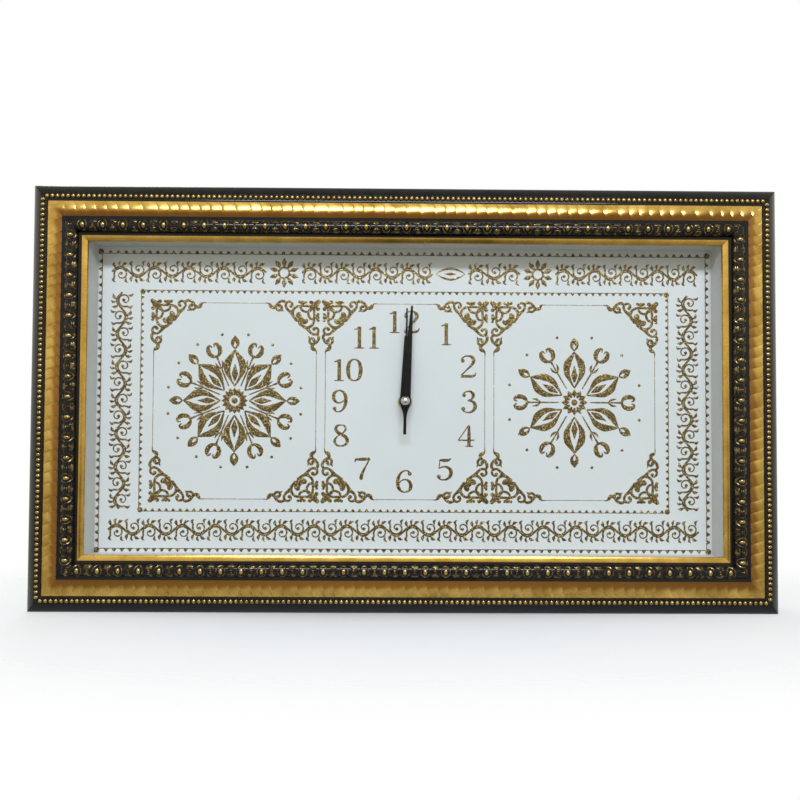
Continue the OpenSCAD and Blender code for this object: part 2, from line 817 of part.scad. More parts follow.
module crystal_can() {
  color("silver") on_axis()
    translate([crystal_at[0] - crystal_l / 2, -d_bridge - crystal_d / 2, crystal_at[1]])
      rotate([0, 90, 0]) cylinder(d = crystal_d, h = crystal_l);
}

module core_bar(x0, x1) {
  translate([x0, -d_stator, coil_z - 1.4]) cube([x1 - x0, stator_t, 2.8]);
}

module drive_coil() {
  axis_d = d_stator - stator_t / 2;
  color("sienna") on_axis() difference() {
    translate([coil_x - coil_l / 2, -axis_d, coil_z]) rotate([0, 90, 0]) union() {
      cylinder(r = coil_r, h = coil_l);
      for (x = [0, coil_l - 0.8]) translate([-2.5, -2.5, x]) cube([5, 5, 0.8]);
    }
    core_bar(coil_x - coil_l, coil_x + coil_l);
  }
}

module coil_core() {
  color("gray") on_axis()
    core_bar(coil_x - stator_end - 1.5, coil_x + stator_end + 1.5);
}

// Laminated pole piece: an eye round the magnet and two arms to the coil core
module stator() {
  ends = [for (s = [-1, 1]) [coil_x + s * stator_end, coil_z]];
  color("gray") on_axis() slab(d_stator, d_stator + stator_t) difference() {
    union() {
      translate(rotor_at) circle(magnet_r + 2.2);
      for (e = ends) {
        elbow = [e[0], rotor_at[1] + 3];
        strip(rotor_at, elbow, 3);
        translate(elbow) circle(1.5);
        strip(elbow, e + [0, 1.4], 3);
      }
    }
    translate(rotor_at) circle(magnet_r + 0.5);
  }
}

module rotor() {
  color("dimgray") on_axis() at(rotor_at) {
    arbor(0.45, pivot_r - 0.05, d_pivot, d_plate - 0.2, pivot_l);
    bar(magnet_r, d_magnet, d_magnet + magnet_l);
    slab(d_rotor_pin, d_rotor_pin + wheel_t + 0.4) teeth(n_rotor, m_rotor, pinion_add, 0);
  }
}

module intermediate_wheel() {
  color("white") on_axis() at(inter_at) {
    arbor(0.5, pivot_r, d_pivot, d_plate - 0.2, pivot_l);
    slab(d_inter, d_inter + wheel_t) wheel(n_inter, m_rotor, p_inter, 1.4);
    slab(d_inter + wheel_t - 0.1, d_second + wheel_t + 0.2)
      teeth(n_inter_pin, m_inter, pinion_add, 0);
  }
}

module second_wheel() {
  color("white") on_axis() {
    bar(arbor_r, d_pivot, d_arbor);
    bar(pivot_r, d_pivot - pivot_l - 0.1, d_pivot);
    slab(d_second, d_second + wheel_t) wheel(n_second, m_inter, p_second, 1.6);
    slab(d_second + wheel_t - 0.1, d_third + wheel_t + 0.2)
      teeth(n_second_pin, m_second, pinion_add, 0);
  }
}

module third_wheel() {
  color("white") on_axis() at(third_at) {
    arbor(0.6, pivot_r, d_pivot, d_inner - 0.2, pivot_l + 0.15);
    slab(d_third, d_third + wheel_t) wheel(n_third, m_second, p_third, 1.6);
    slab(d_centre - 0.1, d_centre + wheel_t + 0.2) teeth(n_third_pin, m_third, pinion_add, 0);
  }
}

module centre_wheel() {
  color("white") on_axis() difference() {
    union() {
      slab(d_centre, d_centre + wheel_t) wheel(n_centre, m_third, p_centre, 2.4);
      slab(d_centre + wheel_t - 0.1, d_motion + wheel_t + 0.2)
        teeth(n_cannon, m_cannon, pinion_add, 0);
      bar(minute_tube_r, d_motion + wheel_t + 0.2, d_minute_tube);
    }
    bar(arbor_r + run_fit, d_centre - 1, d_minute_tube + 1);
  }
}

module motion_wheel() {
  color("white") on_axis() at(motion_at) difference() {
    union() {
      slab(d_motion, d_motion + wheel_t) wheel(n_motion, m_cannon, p_motion, 1.8);
      slab(d_motion + wheel_t - 0.1, d_hour + wheel_t) teeth(n_motion_pin, m_hour, pinion_add, 0);
    }
    bar(0.6 + run_fit, d_motion - 1, d_hour + 2);
  }
}

module setting_arbor() {
  color("white") on_axis() at(setting_at) {
    bar(1.2, d_back + 1, d_inner - 0.2);
    bar(pivot_r, d_inner - 0.2, d_inner + 0.75);
    slab(d_motion - 0.1, d_motion + wheel_t + 0.2) teeth(n_setting, m_cannon, pinion_add, p_setting);
  }
}

module setting_knob() {
  color("black") on_axis() at(setting_at) difference() {
    bar(knob_r, d_back + 0.2, d_bridge - 0.3);
    bar(1.2, d_back + 1, d_bridge);
    for (i = [0:11]) rotate([0, 30 * i, 0]) translate([knob_r + 0.3, 0, 0]) bar(0.8, d_back, d_bridge);
  }
}

module hour_wheel() {
  color("white") on_axis() difference() {
    union() {
      slab(d_hour, d_hour + wheel_t) wheel(n_hour, m_hour, p_hour, 3.2);
      bar(hour_tube_r, d_hour, d_hour_tube);
    }
    bar(minute_tube_r + run_fit, d_hour - 1, d_hour_tube + 1);
  }
}

// A tapered baton with a round boss, pressed on a tube of radius r
module baton(length, tip_w, r, turn) {
  rotate(-turn) difference() {
    union() {
      circle(hand_root_w / 2 + 0.4);
      polygon([[-hand_root_w / 2, 0], [hand_root_w / 2, 0],
               [tip_w / 2, length], [-tip_w / 2, length]]);
    }
    circle(r);
  }
}

module hour_hand() {
  color("black") on_axis() {
    slab(d_hour_hand, d_hour_hand + hand_t) baton(hour_l, hour_tip_w, hour_tube_r, hour_turn);
    slab(d_hour_hand - 0.6, d_hour_hand + 0.1) difference() {
      circle(hour_tube_r + 0.8);
      circle(hour_tube_r);
    }
  }
}

module minute_hand() {
  color("black") on_axis() {
    slab(d_minute_hand, d_minute_hand + hand_t)
      baton(minute_l, minute_tip_w, minute_tube_r, minute_turn);
    slab(d_minute_hand - 0.6, d_minute_hand + 0.1) difference() {
      circle(minute_tube_r + 0.8);
      circle(minute_tube_r);
    }
  }
}

module second_hand() {
  color("black") on_axis() slab(d_second_hand, d_second_hand + hand_t)
    rotate(-second_turn) difference() {
      union() {
        circle(cap_r - 0.2);
        polygon([[second_w / 3, second_l], [-second_w / 3, second_l], [-second_w / 2, 1],
                 [-cap_r * 0.9, 0], [-cap_r * 0.95, -cap_r * 1.2],
                 [-tail_w * 0.8, -cap_r * 2.4], [-tail_w / 2, -cap_r * 3.5],
                 [-tail_w / 2, -tail_l], [tail_w / 2, -tail_l],
                 [tail_w / 2, -cap_r * 3.5], [tail_w * 0.8, -cap_r * 2.4],
                 [cap_r * 0.95, -cap_r * 1.2], [cap_r * 0.9, 0], [second_w / 2, 1]]);
      }
      circle(arbor_r);
    }
}

// Silver dome that closes the arbor
module hand_cap() {
  d0 = d_second_hand + hand_t;
  sphere_r = (cap_r * cap_r + cap_h * cap_h) / (2 * cap_h);
  color("silver") on_axis() turned() difference() {
    intersection() {
      translate([0, d0 + cap_h - sphere_r]) circle(sphere_r);
      translate([0, d0]) square([cap_r, cap_h + 1]);
    }
    translate([0, d0 - 1]) square([arbor_r, d_arbor - d0 + 1]);
  }
}

frame_top();
frame_bottom();
frame_left();
frame_right();
corner_wedges();
glass_pane();
spacer_top();
spacer_bottom();
spacer_left();
spacer_right();
picture_panel();
retaining_points();
hanger_plate();
hanger_screws();
movement_case();
movement_cover();
panel_gasket();
brass_washer();
brass_nut();
middle_plate();
gear_bridge();
battery();
contact_plus();
contact_minus();
circuit_board();
crystal_can();
drive_coil();
coil_core();
stator();
rotor();
intermediate_wheel();
third_wheel();
second_wheel();
centre_wheel();
motion_wheel();
setting_arbor();
setting_knob();
hour_wheel();
hour_hand();
minute_hand();
second_hand();
hand_cap();
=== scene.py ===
# %% [markdown]
# # A picture wall clock
# The clock is a wide shadow box: a black and gold moulding, a pane of glass, white strips
# that hold the glass off a white printed panel, and a small quartz movement behind it.
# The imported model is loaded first, as a fixed frame in metres. X is right, Z is up and
# the front faces -Y, so "further from the wall" is "smaller Y" everywhere below.

# %% Load the frame
import math

import bmesh
import bpy
from mathutils import Matrix, Vector


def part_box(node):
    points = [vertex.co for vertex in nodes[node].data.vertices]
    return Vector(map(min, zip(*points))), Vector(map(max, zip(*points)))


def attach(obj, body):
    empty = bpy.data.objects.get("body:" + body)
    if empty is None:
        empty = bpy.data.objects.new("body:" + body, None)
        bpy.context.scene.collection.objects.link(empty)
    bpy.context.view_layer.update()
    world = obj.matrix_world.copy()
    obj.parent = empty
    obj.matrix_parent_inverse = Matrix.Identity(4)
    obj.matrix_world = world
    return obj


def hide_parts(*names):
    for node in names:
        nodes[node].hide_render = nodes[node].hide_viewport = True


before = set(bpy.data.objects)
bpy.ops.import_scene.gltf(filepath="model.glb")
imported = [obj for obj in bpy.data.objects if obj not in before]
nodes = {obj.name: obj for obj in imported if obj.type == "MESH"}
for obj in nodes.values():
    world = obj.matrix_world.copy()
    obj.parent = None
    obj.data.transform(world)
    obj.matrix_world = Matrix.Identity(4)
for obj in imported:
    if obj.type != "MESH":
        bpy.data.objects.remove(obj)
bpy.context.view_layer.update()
scene = bpy.context.scene

# %% [markdown]
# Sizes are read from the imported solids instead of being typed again. The lesson works in
# millimetres, because that is how a frame maker thinks, and MM turns them into metres.

# %% Measure the solids
MM = 0.001
rail_low, rail_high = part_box("frame_top")
post_low, post_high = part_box("frame_left")
panel_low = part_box("picture_panel")[0]
cap_low, cap_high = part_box("hand_cap")
FRAME_W = (rail_high.x - rail_low.x) / MM
FRAME_H = (post_high.z - post_low.z) / MM
Z_MID = (post_high.z + post_low.z) / 2 / MM
Z_AXIS = (cap_low.z + cap_high.z) / 2 / MM
FACE_D = -panel_low.y / MM
print(f"frame {FRAME_W:.1f} x {FRAME_H:.1f} mm, panel face {FACE_D:.1f} mm off the wall")

# %% [markdown]
# The camera stands close in front of the clock, a little below its middle and to the left
# of it, with a wide lens: the strips at the left and right show their inner sides, as they
# do from there. It looks up by about a degree, and a small lens shift centres the frame,
# because a larger turn would make its sides lean. The picture is 800 pixels square, so a
# focal length or a shift in pixels is a share of 800.

# %% Camera
IMAGE = 800
FOCAL = 627
SHIFT = (3.7, 19.2)
SENSOR = 36
ASIDE, AWAY, BELOW = 12, 582, 30
TURN = (91.31, -0.30, -0.44)
camera_data = bpy.data.cameras.new("camera")
camera_data.sensor_width = SENSOR
camera_data.lens = SENSOR * FOCAL / IMAGE
camera_data.shift_x = SHIFT[0] / IMAGE
camera_data.shift_y = SHIFT[1] / IMAGE
camera = bpy.data.objects.new("camera", camera_data)
camera.location = (-ASIDE * MM, -AWAY * MM, (Z_MID - BELOW) * MM)
camera.rotation_euler = [math.radians(degrees) for degrees in TURN]
scene.collection.objects.link(camera)
scene.camera = camera
scene.view_settings.view_transform = "Standard"
print("lens", round(camera_data.lens, 2), "mm")

# %% [markdown]
# A finish is a node tree. It could be wired node by node, but the same few groups come
# back in every finish, so this small class keeps the wiring short: it starts from one
# Principled shader, reads Object coordinates, and adds textures, ramps and bumps to it.
# Every piece sits at the origin with its place in its mesh, so Object coordinates are
# metres in the clock's own frame, and a texture scale of 1000 means one cell a millimetre.

# %% Finishes
class Finish:
    def __init__(self, name, **sockets):
        self.material = bpy.data.materials.new(name)
        self.material.use_nodes = True
        self.tree = self.material.node_tree
        self.shader = self.tree.nodes["Principled BSDF"]
        self.output = self.tree.nodes["Material Output"]
        for socket, value in sockets.items():
            self.shader.inputs[socket.replace("_", " ")].default_value = value
        self.place = self.add("ShaderNodeTexCoord").outputs["Object"]

    def add(self, kind, settings=None, **sockets):
        made = self.tree.nodes.new(kind)
        for key, value in (settings or {}).items():
            setattr(made, key, value)
        for socket, value in sockets.items():
            self.put(made.inputs[socket.replace("_", " ")], value)
        return made

    def put(self, target, value):
        if isinstance(value, bpy.types.NodeSocket):
            self.tree.links.new(value, target)
        else:
            target.default_value = value

    def stretched(self, x=1, y=1, z=1):
        return self.add("ShaderNodeMapping", Vector=self.place, Scale=(x, y, z)).outputs[0]

    def axis(self, name):
        return self.add("ShaderNodeSeparateXYZ", Vector=self.place).outputs[name]

    def noise(self, scale, detail=3, place=None):
        return self.add("ShaderNodeTexNoise", Vector=place or self.place,
                        Scale=scale, Detail=detail).outputs["Fac"]

    def math(self, operation, a, b=0.5, c=0.5):
        made = self.add("ShaderNodeMath", {"operation": operation})
        for socket, value in zip(made.inputs, (a, b, c)):
            self.put(socket, value)
        return made.outputs[0]

    def ramp(self, value, *stops):
        made = self.add("ShaderNodeValToRGB", Fac=value)
        band = made.color_ramp.elements
        while len(band) < len(stops):
            band.new(0.5)
        for element, (position, shade) in zip(band, stops):
            element.position = position
            element.color = (*shade, 1) if isinstance(shade, tuple) else (shade,) * 3 + (1,)
        return made.outputs["Color"]

    def blend(self, amount, a, b):
        made = self.add("ShaderNodeMix", {"data_type": "RGBA"})
        self.put(made.inputs["Factor"], amount)
        for socket, value in zip(("A", "B"), (a, b)):
            target = [s for s in made.inputs if s.name == socket and s.type == "RGBA"][0]
            self.put(target, (*value, 1) if isinstance(value, tuple) else value)
        return [s for s in made.outputs if s.type == "RGBA"][0]

    def wear(self, colour=None, rough=None, bump=None, depth=0.05, strength=1.0):
        if colour is not None:
            self.put(self.shader.inputs["Base Color"], colour)
        if rough is not None:
            self.put(self.shader.inputs["Roughness"], rough)
        if bump is not None:
            made = self.add("ShaderNodeBump", Height=bump, Distance=depth * MM,
                            Strength=strength)
            self.put(self.shader.inputs["Normal"], made.outputs[0])
        return self.material

    def either(self, share, first, second):
        """Shows the first shader where share is 0 and the second where it is 1."""
        made = self.add("ShaderNodeMixShader")
        for socket, value in zip(made.inputs, (share, first.outputs[0], second.outputs[0])):
            self.put(socket, value)
        self.put(self.output.inputs["Surface"], made.outputs[0])


trial = Finish("trial")
print("a bare finish has", len(trial.tree.nodes), "nodes")
bpy.data.materials.remove(trial.material)

# %% [markdown]
# A finished piece is a bmesh turned into an object. Doubles are merged, faces are made
# smooth, and edges sharper than a given angle stay crisp, which is what a smooth-by-angle
# modifier would do, without leaving a modifier behind. Every piece rides on a body of the
# clock and takes the finishes it is given.

# %% From bmesh to piece
def crisp(bm, angle=35):
    limit = math.radians(angle)
    for face in bm.faces:
        face.smooth = True
    for edge in bm.edges:
        edge.smooth = not (edge.is_manifold and edge.calc_face_angle(0) > limit)


def piece(name, bm, finishes, body, angle=35, replaced=(), turn_out=True):
    bmesh.ops.remove_doubles(bm, verts=bm.verts, dist=0.002 * MM)
    if turn_out:
        bmesh.ops.recalc_face_normals(bm, faces=bm.faces)
    crisp(bm, angle)
    mesh = bpy.data.meshes.new(name)
    bm.to_mesh(mesh)
    bm.free()
    for finish in finishes:
        mesh.materials.append(finish)
    made = bpy.data.objects.new(name, mesh)
    scene.collection.objects.link(made)
    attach(made, body)
    if replaced:
        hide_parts(*replaced)
    print(f"{name}: {len(mesh.polygons)} faces")


trial = bmesh.new()
bmesh.ops.create_cube(trial, size=1)
crisp(trial)
print(sum(not edge.smooth for edge in trial.edges), "edges of a cube stay crisp")
trial.free()

# %% [markdown]
# ## The moulding's rows
# U is the distance from the outer edge and D the distance from the wall. From outside in,
# the moulding has a round edge, a bead row, a cove, an egg row on a half round and a lip.
# The cove is a flat arc and then a tighter one, which rises to the egg row. It is a
# function and not a drawn line, because the foil that lies in it needs the same curve.

# %% Rows across the moulding
EDGE = 9.4  # the round edge ends here and the bead row starts
BEADS = 13.6  # the bead row ends
COVE = 15.6  # a narrow fillet ends and the cove starts
STEP = 30.4  # the cove ends and a step starts
EGGS = 33.1  # outer foot of the half round with the eggs
QUIRK = 43.6  # inner foot of the half round
LIP = 46.0  # a flat groove ends and the lip starts
SIGHT = 50.5  # edge of the window
RABBET = 43.0  # outer wall of the rabbet, behind the lip
EGG_R = (QUIRK - EGGS) / 2
EGG_U = (QUIRK + EGGS) / 2
print("moulding", SIGHT, "mm wide, half round of radius", EGG_R, "mm")

# %% Levels and the cove
BACK = 0.05  # back of the rails
D_LIP = 40.5  # back of the lip, where the glass lies
D_BED = 42.0  # bed of the beads
D_FILLET = 43.0  # fillet beside the cove
D_EGG = 44.25  # axis of the half round
COVE_DROP = 0.8  # from the fillet down to the start of the cove
STEP_UP = 0.2  # from the end of the cove up to the step
FLAT_SHARE = 0.6  # share of the cove's width that the flat arc takes
DIP, KNEE, END = (math.sin(math.radians(slope)) for slope in (-12, 19, 42))
FLAT = FLAT_SHARE * (STEP - COVE)
FLAT_R = FLAT / (KNEE - DIP)
RISE_R = (STEP - COVE - FLAT) / (END - KNEE)
FLAT_AT = Vector((COVE - FLAT_R * DIP, D_FILLET - COVE_DROP + FLAT_R * math.sqrt(1 - DIP ** 2)))
RISE_AT = FLAT_AT + (FLAT_R - RISE_R) * Vector((KNEE, -math.sqrt(1 - KNEE ** 2)))


def cove(share, lift=0.0):
    """U and D in the cove, share 0 at its outer edge and 1 at the egg row, lifted in mm."""
    if share < FLAT_SHARE:
        centre, radius = FLAT_AT, FLAT_R
        lean = DIP + (KNEE - DIP) * share / FLAT_SHARE
    else:
        centre, radius = RISE_AT, RISE_R
        lean = KNEE + (END - KNEE) * (share - FLAT_SHARE) / (1 - FLAT_SHARE)
    return centre + (radius - lift) * Vector((lean, -math.sqrt(1 - lean ** 2)))


D_STEP = cove(1).y + STEP_UP
print(f"cove from {cove(0).y:.1f} to {cove(1).y:.1f} mm, egg crest at {D_EGG + EGG_R:.1f} mm")

# %% [markdown]
# ## The moulding's finishes
# The rails are black lacquer with gold foil on the cove, the lip and the beads. Foil is
# a metal a few microns thick over a rough ground, so its gloss wanders slowly and it has
# fine specks. In the cove it is browned towards the egg row: partly the foil's own tone,
# partly a painted reflection of the dark surroundings that the cove mirrors there. The
# rails face four ways, so Object coordinates can't give that tone, and the strip of foil
# carries it in an attribute instead.

# %% Gold foil
def gold_foil(name, deep, bright, rough, grain, toned_and_painted_shade=False):
    foil = Finish(name, Metallic=1.0, Roughness=rough)
    drift = foil.noise(60, 4)
    speck = foil.noise(grain, 2)
    colour = foil.ramp(foil.math("MULTIPLY_ADD", speck, 0.35, foil.math("MULTIPLY", drift, 0.65)),
                       (0.3, deep), (0.7, bright))
    gloss = foil.math("MULTIPLY_ADD", drift, 0.16, rough - 0.06)
    # Where toned, the cove browns towards the egg row: partly the foil's own tone, partly a painted
    # reflection of dark surroundings, with a notch of painted shade at each scale.
    if toned_and_painted_shade:
        share = foil.add("ShaderNodeAttribute", {"attribute_name": "tone"}).outputs["Fac"]
        tone = foil.ramp(share, (0.42, 0.0), (0.66, 0.88), (1.0, 0.96))
        colour = foil.blend(tone, colour, (0.29, 0.12, 0.02))
    return foil.wear(colour, gloss, speck, 0.03, 0.35)


cove_gold = gold_foil("cove_gold", (0.35, 0.195, 0.037), (0.77, 0.51, 0.14), 0.22, 900, True)
lip_gold = gold_foil("lip_gold", (0.43, 0.24, 0.042), (0.70, 0.445, 0.11), 0.22, 700)
bead_gold = gold_foil("bead_gold", (0.26, 0.16, 0.04), (0.58, 0.42, 0.15), 0.25, 500)
print("foil:", cove_gold.name, lip_gold.name, bead_gold.name)

# %% [markdown]
# Black lacquer on such frames is a little brown where it is rubbed, and the carving round
# the eggs has gold left only in patches. The back is the bare foamed plastic of the rails,
# dyed the colour of wood, with streaks from the extruder along each rail. A streak is noise
# stretched along one axis, so the upright rails need a finish of their own.

# %% Lacquer, rubbed gold and bare back
lacquer = Finish("black_lacquer", Roughness=0.3, Specular_IOR_Level=0.27)
rubbed = lacquer.noise(140, 5)
black_lacquer = lacquer.wear(
    lacquer.ramp(rubbed, (0.35, (0.003, 0.003, 0.004)), (0.75, (0.012, 0.009, 0.007))),
    lacquer.math("MULTIPLY_ADD", rubbed, 0.12, 0.07), lacquer.noise(900, 2), 0.02, 0.3)

antique = Finish("rubbed_gold", Roughness=0.36, Metallic=0.85)
patchy = antique.noise(330, 4)
rubbed_gold = antique.wear(
    antique.ramp(patchy, (0.42, (0.03, 0.021, 0.011)), (0.72, (0.33, 0.23, 0.085))),
    antique.math("MULTIPLY_ADD", patchy, -0.2, 0.38), patchy, 0.06, 0.5)


def bare_back(name, x, z):
    bare = Finish(name, Roughness=0.75)
    streaks = bare.noise(55, 6, bare.stretched(x, 1, z))
    pores = bare.noise(900, 2, bare.stretched(x / 2, 1, z / 2))
    mixed = bare.math("MULTIPLY_ADD", pores, 0.3, bare.math("MULTIPLY", streaks, 0.7))
    return bare.wear(bare.ramp(mixed, (0.34, (0.34, 0.21, 0.11)), (0.66, (0.62, 0.45, 0.28))),
                     None, pores, 0.05, 0.5)


back_across = bare_back("back_across", 0.12, 1)
back_upright = bare_back("back_upright", 1, 0.12)
print("also:", black_lacquer.name, rubbed_gold.name, back_across.name, back_upright.name)

# %% [markdown]
# ## The moulding's section
# A rail is one section drawn out along its length. The section is a walk: straight steps
# extrude the last vertex, and round parts spin it about a centre, so no list of points on
# an arc is typed. The black edge is one flat arc above a straight side, and the lip is an
# arc that falls towards the window. The cove is walked 0.8 mm low, because a strip of foil
# will lie in it. The back stands 0.05 mm off the wall plane, so that metal fittings which
# lie flush in it still show.

# %% Walk the section
def at(u, d, x=0.0):
    return Vector((x, -d, -u)) * MM


class Walk:
    def __init__(self, bm, u, d):
        self.bm = bm
        self.here = bm.verts.new(at(u, d))

    def to(self, u, d):
        made = bmesh.ops.extrude_vert_indiv(self.bm, verts=[self.here])["verts"]
        self.here = made[0]
        self.here.co = at(u, d)
        return self

    def round(self, u, d, degrees, steps):
        made = bmesh.ops.spin(self.bm, geom=[self.here], cent=at(u, d), axis=(1, 0, 0),
                              angle=math.radians(degrees), steps=steps)["geom_last"]
        self.here = [g for g in made if isinstance(g, bmesh.types.BMVert)][0]
        return self


D_SIDE = 34.6  # top of the straight side
ARC_FROM, ARC_AT, ARC_TURN = (0.25, 35.5), (20.54, 17.47), 24  # black edge
FILLET_SLOPE, STEP_SLOPE = 0.08, 0.5
UNDER_FOIL = 0.8
D_QUIRK, D_LIP_TOP, D_SIGHT = 44.0, 43.5, 41.7
LIP_R, LIP_FROM, LIP_TO = 10.4, 5, 30  # radius, and slope in degrees at both ends


def section():
    bm = bmesh.new()
    walk = Walk(bm, 0, BACK)
    walk.to(0, D_SIDE).to(*ARC_FROM).round(*ARC_AT, ARC_TURN, 6)
    walk.to(EDGE, D_BED).to(BEADS, D_BED).to(BEADS, D_FILLET - FILLET_SLOPE).to(COVE, D_FILLET)
    for step in range(9):
        walk.to(*(cove(step / 8) - Vector((0, UNDER_FOIL))))
    rise = math.asin((D_STEP - D_EGG) / EGG_R)
    walk.to(STEP, D_STEP + STEP_SLOPE).to(EGG_U - EGG_R * math.cos(rise), D_STEP)
    walk.round(EGG_U, D_EGG, 180 - math.degrees(rise), 14)
    walk.to(QUIRK, D_QUIRK).to(LIP, D_QUIRK).to(LIP, D_LIP_TOP)
    slope = math.radians(LIP_FROM)
    walk.round(LIP - LIP_R * math.sin(slope), D_LIP_TOP - LIP_R * math.cos(slope), LIP_TO - LIP_FROM, 7)
    walk.to(SIGHT, D_SIGHT).to(SIGHT, D_LIP).to(RABBET, D_LIP).to(RABBET, BACK)
    bm.verts.ensure_lookup_table()
    bm.edges.new((walk.here, bm.verts[0]))
    return bm


trial = section()
print("section of", len(trial.edges), "edges")
trial.free()

# %% [markdown]
# The section is extruded along X. The long edges that show are rounded by a quarter of a
# millimetre, because lacquer never covers a knife edge. Only the edges of the step beside
# the cove and those of the lip stay crisp. Then two cuts at 45 degrees make the mitres. A
# bisect leaves an open end, so each cut is filled at once.

# %% Cut a rail
SOFT = 0.25


def mitre(bm, length, fill=True):
    for side in (-1, 1):
        cut = bmesh.ops.bisect_plane(
            bm, geom=bm.verts[:] + bm.edges[:] + bm.faces[:], dist=1e-7,
            plane_co=(side * length / 2 * MM, 0, 0), plane_no=(side, 0, -1), clear_outer=True)
        rim = [g for g in cut["geom_cut"] if isinstance(g, bmesh.types.BMEdge)]
        if fill:
            bmesh.ops.contextual_create(bm, geom=rim)


def paint_rail(bm):
    for face in bm.faces:
        middle = face.calc_center_median()
        u, d = -middle.z / MM, -middle.y / MM
        foil = u > LIP + 0.1 and d > D_LIP + 0.1
        raw = d < 1 or (u > RABBET - 0.1 and d < D_LIP + 0.1)
        face.material_index = 1 if foil else 2 if raw else 0


def rail_body(length):
    bm = section()
    drawn = bmesh.ops.extrude_edge_only(bm, edges=bm.edges[:])["geom"]
    ends = [g for g in drawn if isinstance(g, bmesh.types.BMVert)]
    bmesh.ops.translate(bm, verts=bm.verts, vec=(-length / 2 * MM, 0, 0))
    bmesh.ops.translate(bm, verts=ends, vec=(length * MM, 0, 0))
    bmesh.ops.recalc_face_normals(bm, faces=bm.faces)
    long_edges = [e for e in bm.edges if len(e.link_faces) == 2
                  and e.calc_face_angle(0) > math.radians(40)
                  and -e.verts[0].co.y > D_LIP * MM and -e.verts[0].co.z < (LIP - 0.1) * MM
                  and abs(e.verts[0].co.z + STEP * MM) > 0.3 * MM]
    bmesh.ops.bevel(bm, geom=long_edges, offset=SOFT * MM, offset_type="OFFSET", segments=2,
                    profile=0.5, material=-1, affect="EDGES")
    mitre(bm, length)
    paint_rail(bm)
    return bm


trial = rail_body(FRAME_W)
print("rail body of", len(trial.faces), "faces")
trial.free()

# %% [markdown]
# ## Foil in the cove
# The gold in the cove is pressed in slanting scales of uneven width. Each rises steeply at
# one edge and falls gently to the next, as shingles do, and that is what breaks the long
# highlight into steps. A bump in the finish would only shade them, so they are modelled: a
# grid makes the strip, six of its columns share a scale and carry its height, and its rows
# follow the cove. The brown tone, partly toning and partly painted reflection, is written on
# the same vertices, with a notch of painted shade at the low end of each scale. The strip
# then gets the thickness of the foil and the same mitre cuts.

# %% Scales in the cove
SCALE = 10.0  # mean width
UNEVEN = (0.9, 1.0, 1.2, 1.28, 0.94, 0.85, 0.9, 0.93)  # widths that repeat, with a mean of 1
PILLOW = ((0.0, 0.0), (0.08, 0.75), (0.25, 1.0), (0.55, 0.85), (0.82, 0.45), (0.985, 0.08))
SCALE_RISE, SCALE_SLANT, SCALE_BOW = 0.4, 3.4, 1.2
# Painted shade: the brown reaches further out at the low end of each scale, a dark notch that stands in
# for the shade before the next scale rises.
SCALE_SHADE_NOTCH, SCALE_SHADE_NOTCH_AT = 0.22, 0.25
FOIL = 0.3


def scale_start(i):
    return SCALE * (len(UNEVEN) * (i // len(UNEVEN)) + sum(UNEVEN[:i % len(UNEVEN)]))


def cove_strip(length):
    count = int(length / SCALE) + 3
    columns = len(PILLOW) * count
    bm = bmesh.new()
    bmesh.ops.create_grid(bm, x_segments=columns, y_segments=14, size=0.5)
    tone = bm.verts.layers.float.new("tone")
    for vert in bm.verts:
        scale, column = divmod(round((vert.co.x + 0.5) * columns), len(PILLOW))
        share = min(1.0, max(0.0, vert.co.y + 0.5))
        part, height = PILLOW[column]
        bulge = 1 - (2 * share - 1) ** 4
        along = scale_start(scale) + part * SCALE * UNEVEN[scale % len(UNEVEN)]
        along += SCALE_SLANT * share + SCALE_BOW * bulge - scale_start(count) / 2
        vert.co = at(*cove(share, SCALE_RISE * height * bulge), along)
        # Tone: brown towards the egg row, partly toning and partly painted reflection, plus the painted
        # shade notch of each scale.
        vert[tone] = share + SCALE_SHADE_NOTCH * (part - SCALE_SHADE_NOTCH_AT)
    bmesh.ops.recalc_face_normals(bm, faces=bm.faces)
    mitre(bm, length, fill=False)
    if bm.faces[:][0].normal.y > 0:
        bmesh.ops.reverse_faces(bm, faces=bm.faces)
    bmesh.ops.solidify(bm, geom=bm.faces[:], thickness=FOIL * MM)
    for face in bm.faces:
        face.material_index = 3
    return bm


trial = cove_strip(FRAME_W)
print("cove strip of", len(trial.faces), "faces")
trial.free()

# %% [markdown]
# ## Beads and eggs
# Each rail has a row of small round beads near its outer edge and a row of eggs on the
# half round. An egg is a boss inside a ring, with six short ribs between it and the next
# one. They are modelled flat, in millimetres along and across the rail, and then wrapped
# on the half round, which is easier than placing each one on a curve. Repeated shapes are
# kept to a few dozen faces.

# %% Model one bead
BEAD_R, BEAD_PITCH, BEAD_MARGIN = 1.8, 4.5, 2.1
BEAD_OVAL = 1.15
BEAD_U = (EDGE + BEADS) / 2
LYING = Matrix.Rotation(math.pi / 2, 3, "X")


def bead():
    bm = bmesh.new()
    bmesh.ops.create_uvsphere(bm, u_segments=10, v_segments=6, radius=BEAD_R * MM)
    bmesh.ops.scale(bm, verts=bm.verts, vec=(1, BEAD_OVAL, 1))
    bmesh.ops.rotate(bm, verts=bm.verts, cent=(0, 0, 0), matrix=LYING)
    bmesh.ops.translate(bm, verts=bm.verts, vec=at(BEAD_U, D_BED))
    for face in bm.faces:
        face.material_index = 4
    return bm


def row_places(length, u, pitch, margin):
    gaps = math.floor((length - 2 * u - 2 * margin) / pitch)
    return [(i - gaps / 2) * pitch for i in range(gaps + 1)]


print(len(row_places(FRAME_W, BEAD_U, BEAD_PITCH, BEAD_MARGIN)), "beads on a long rail")

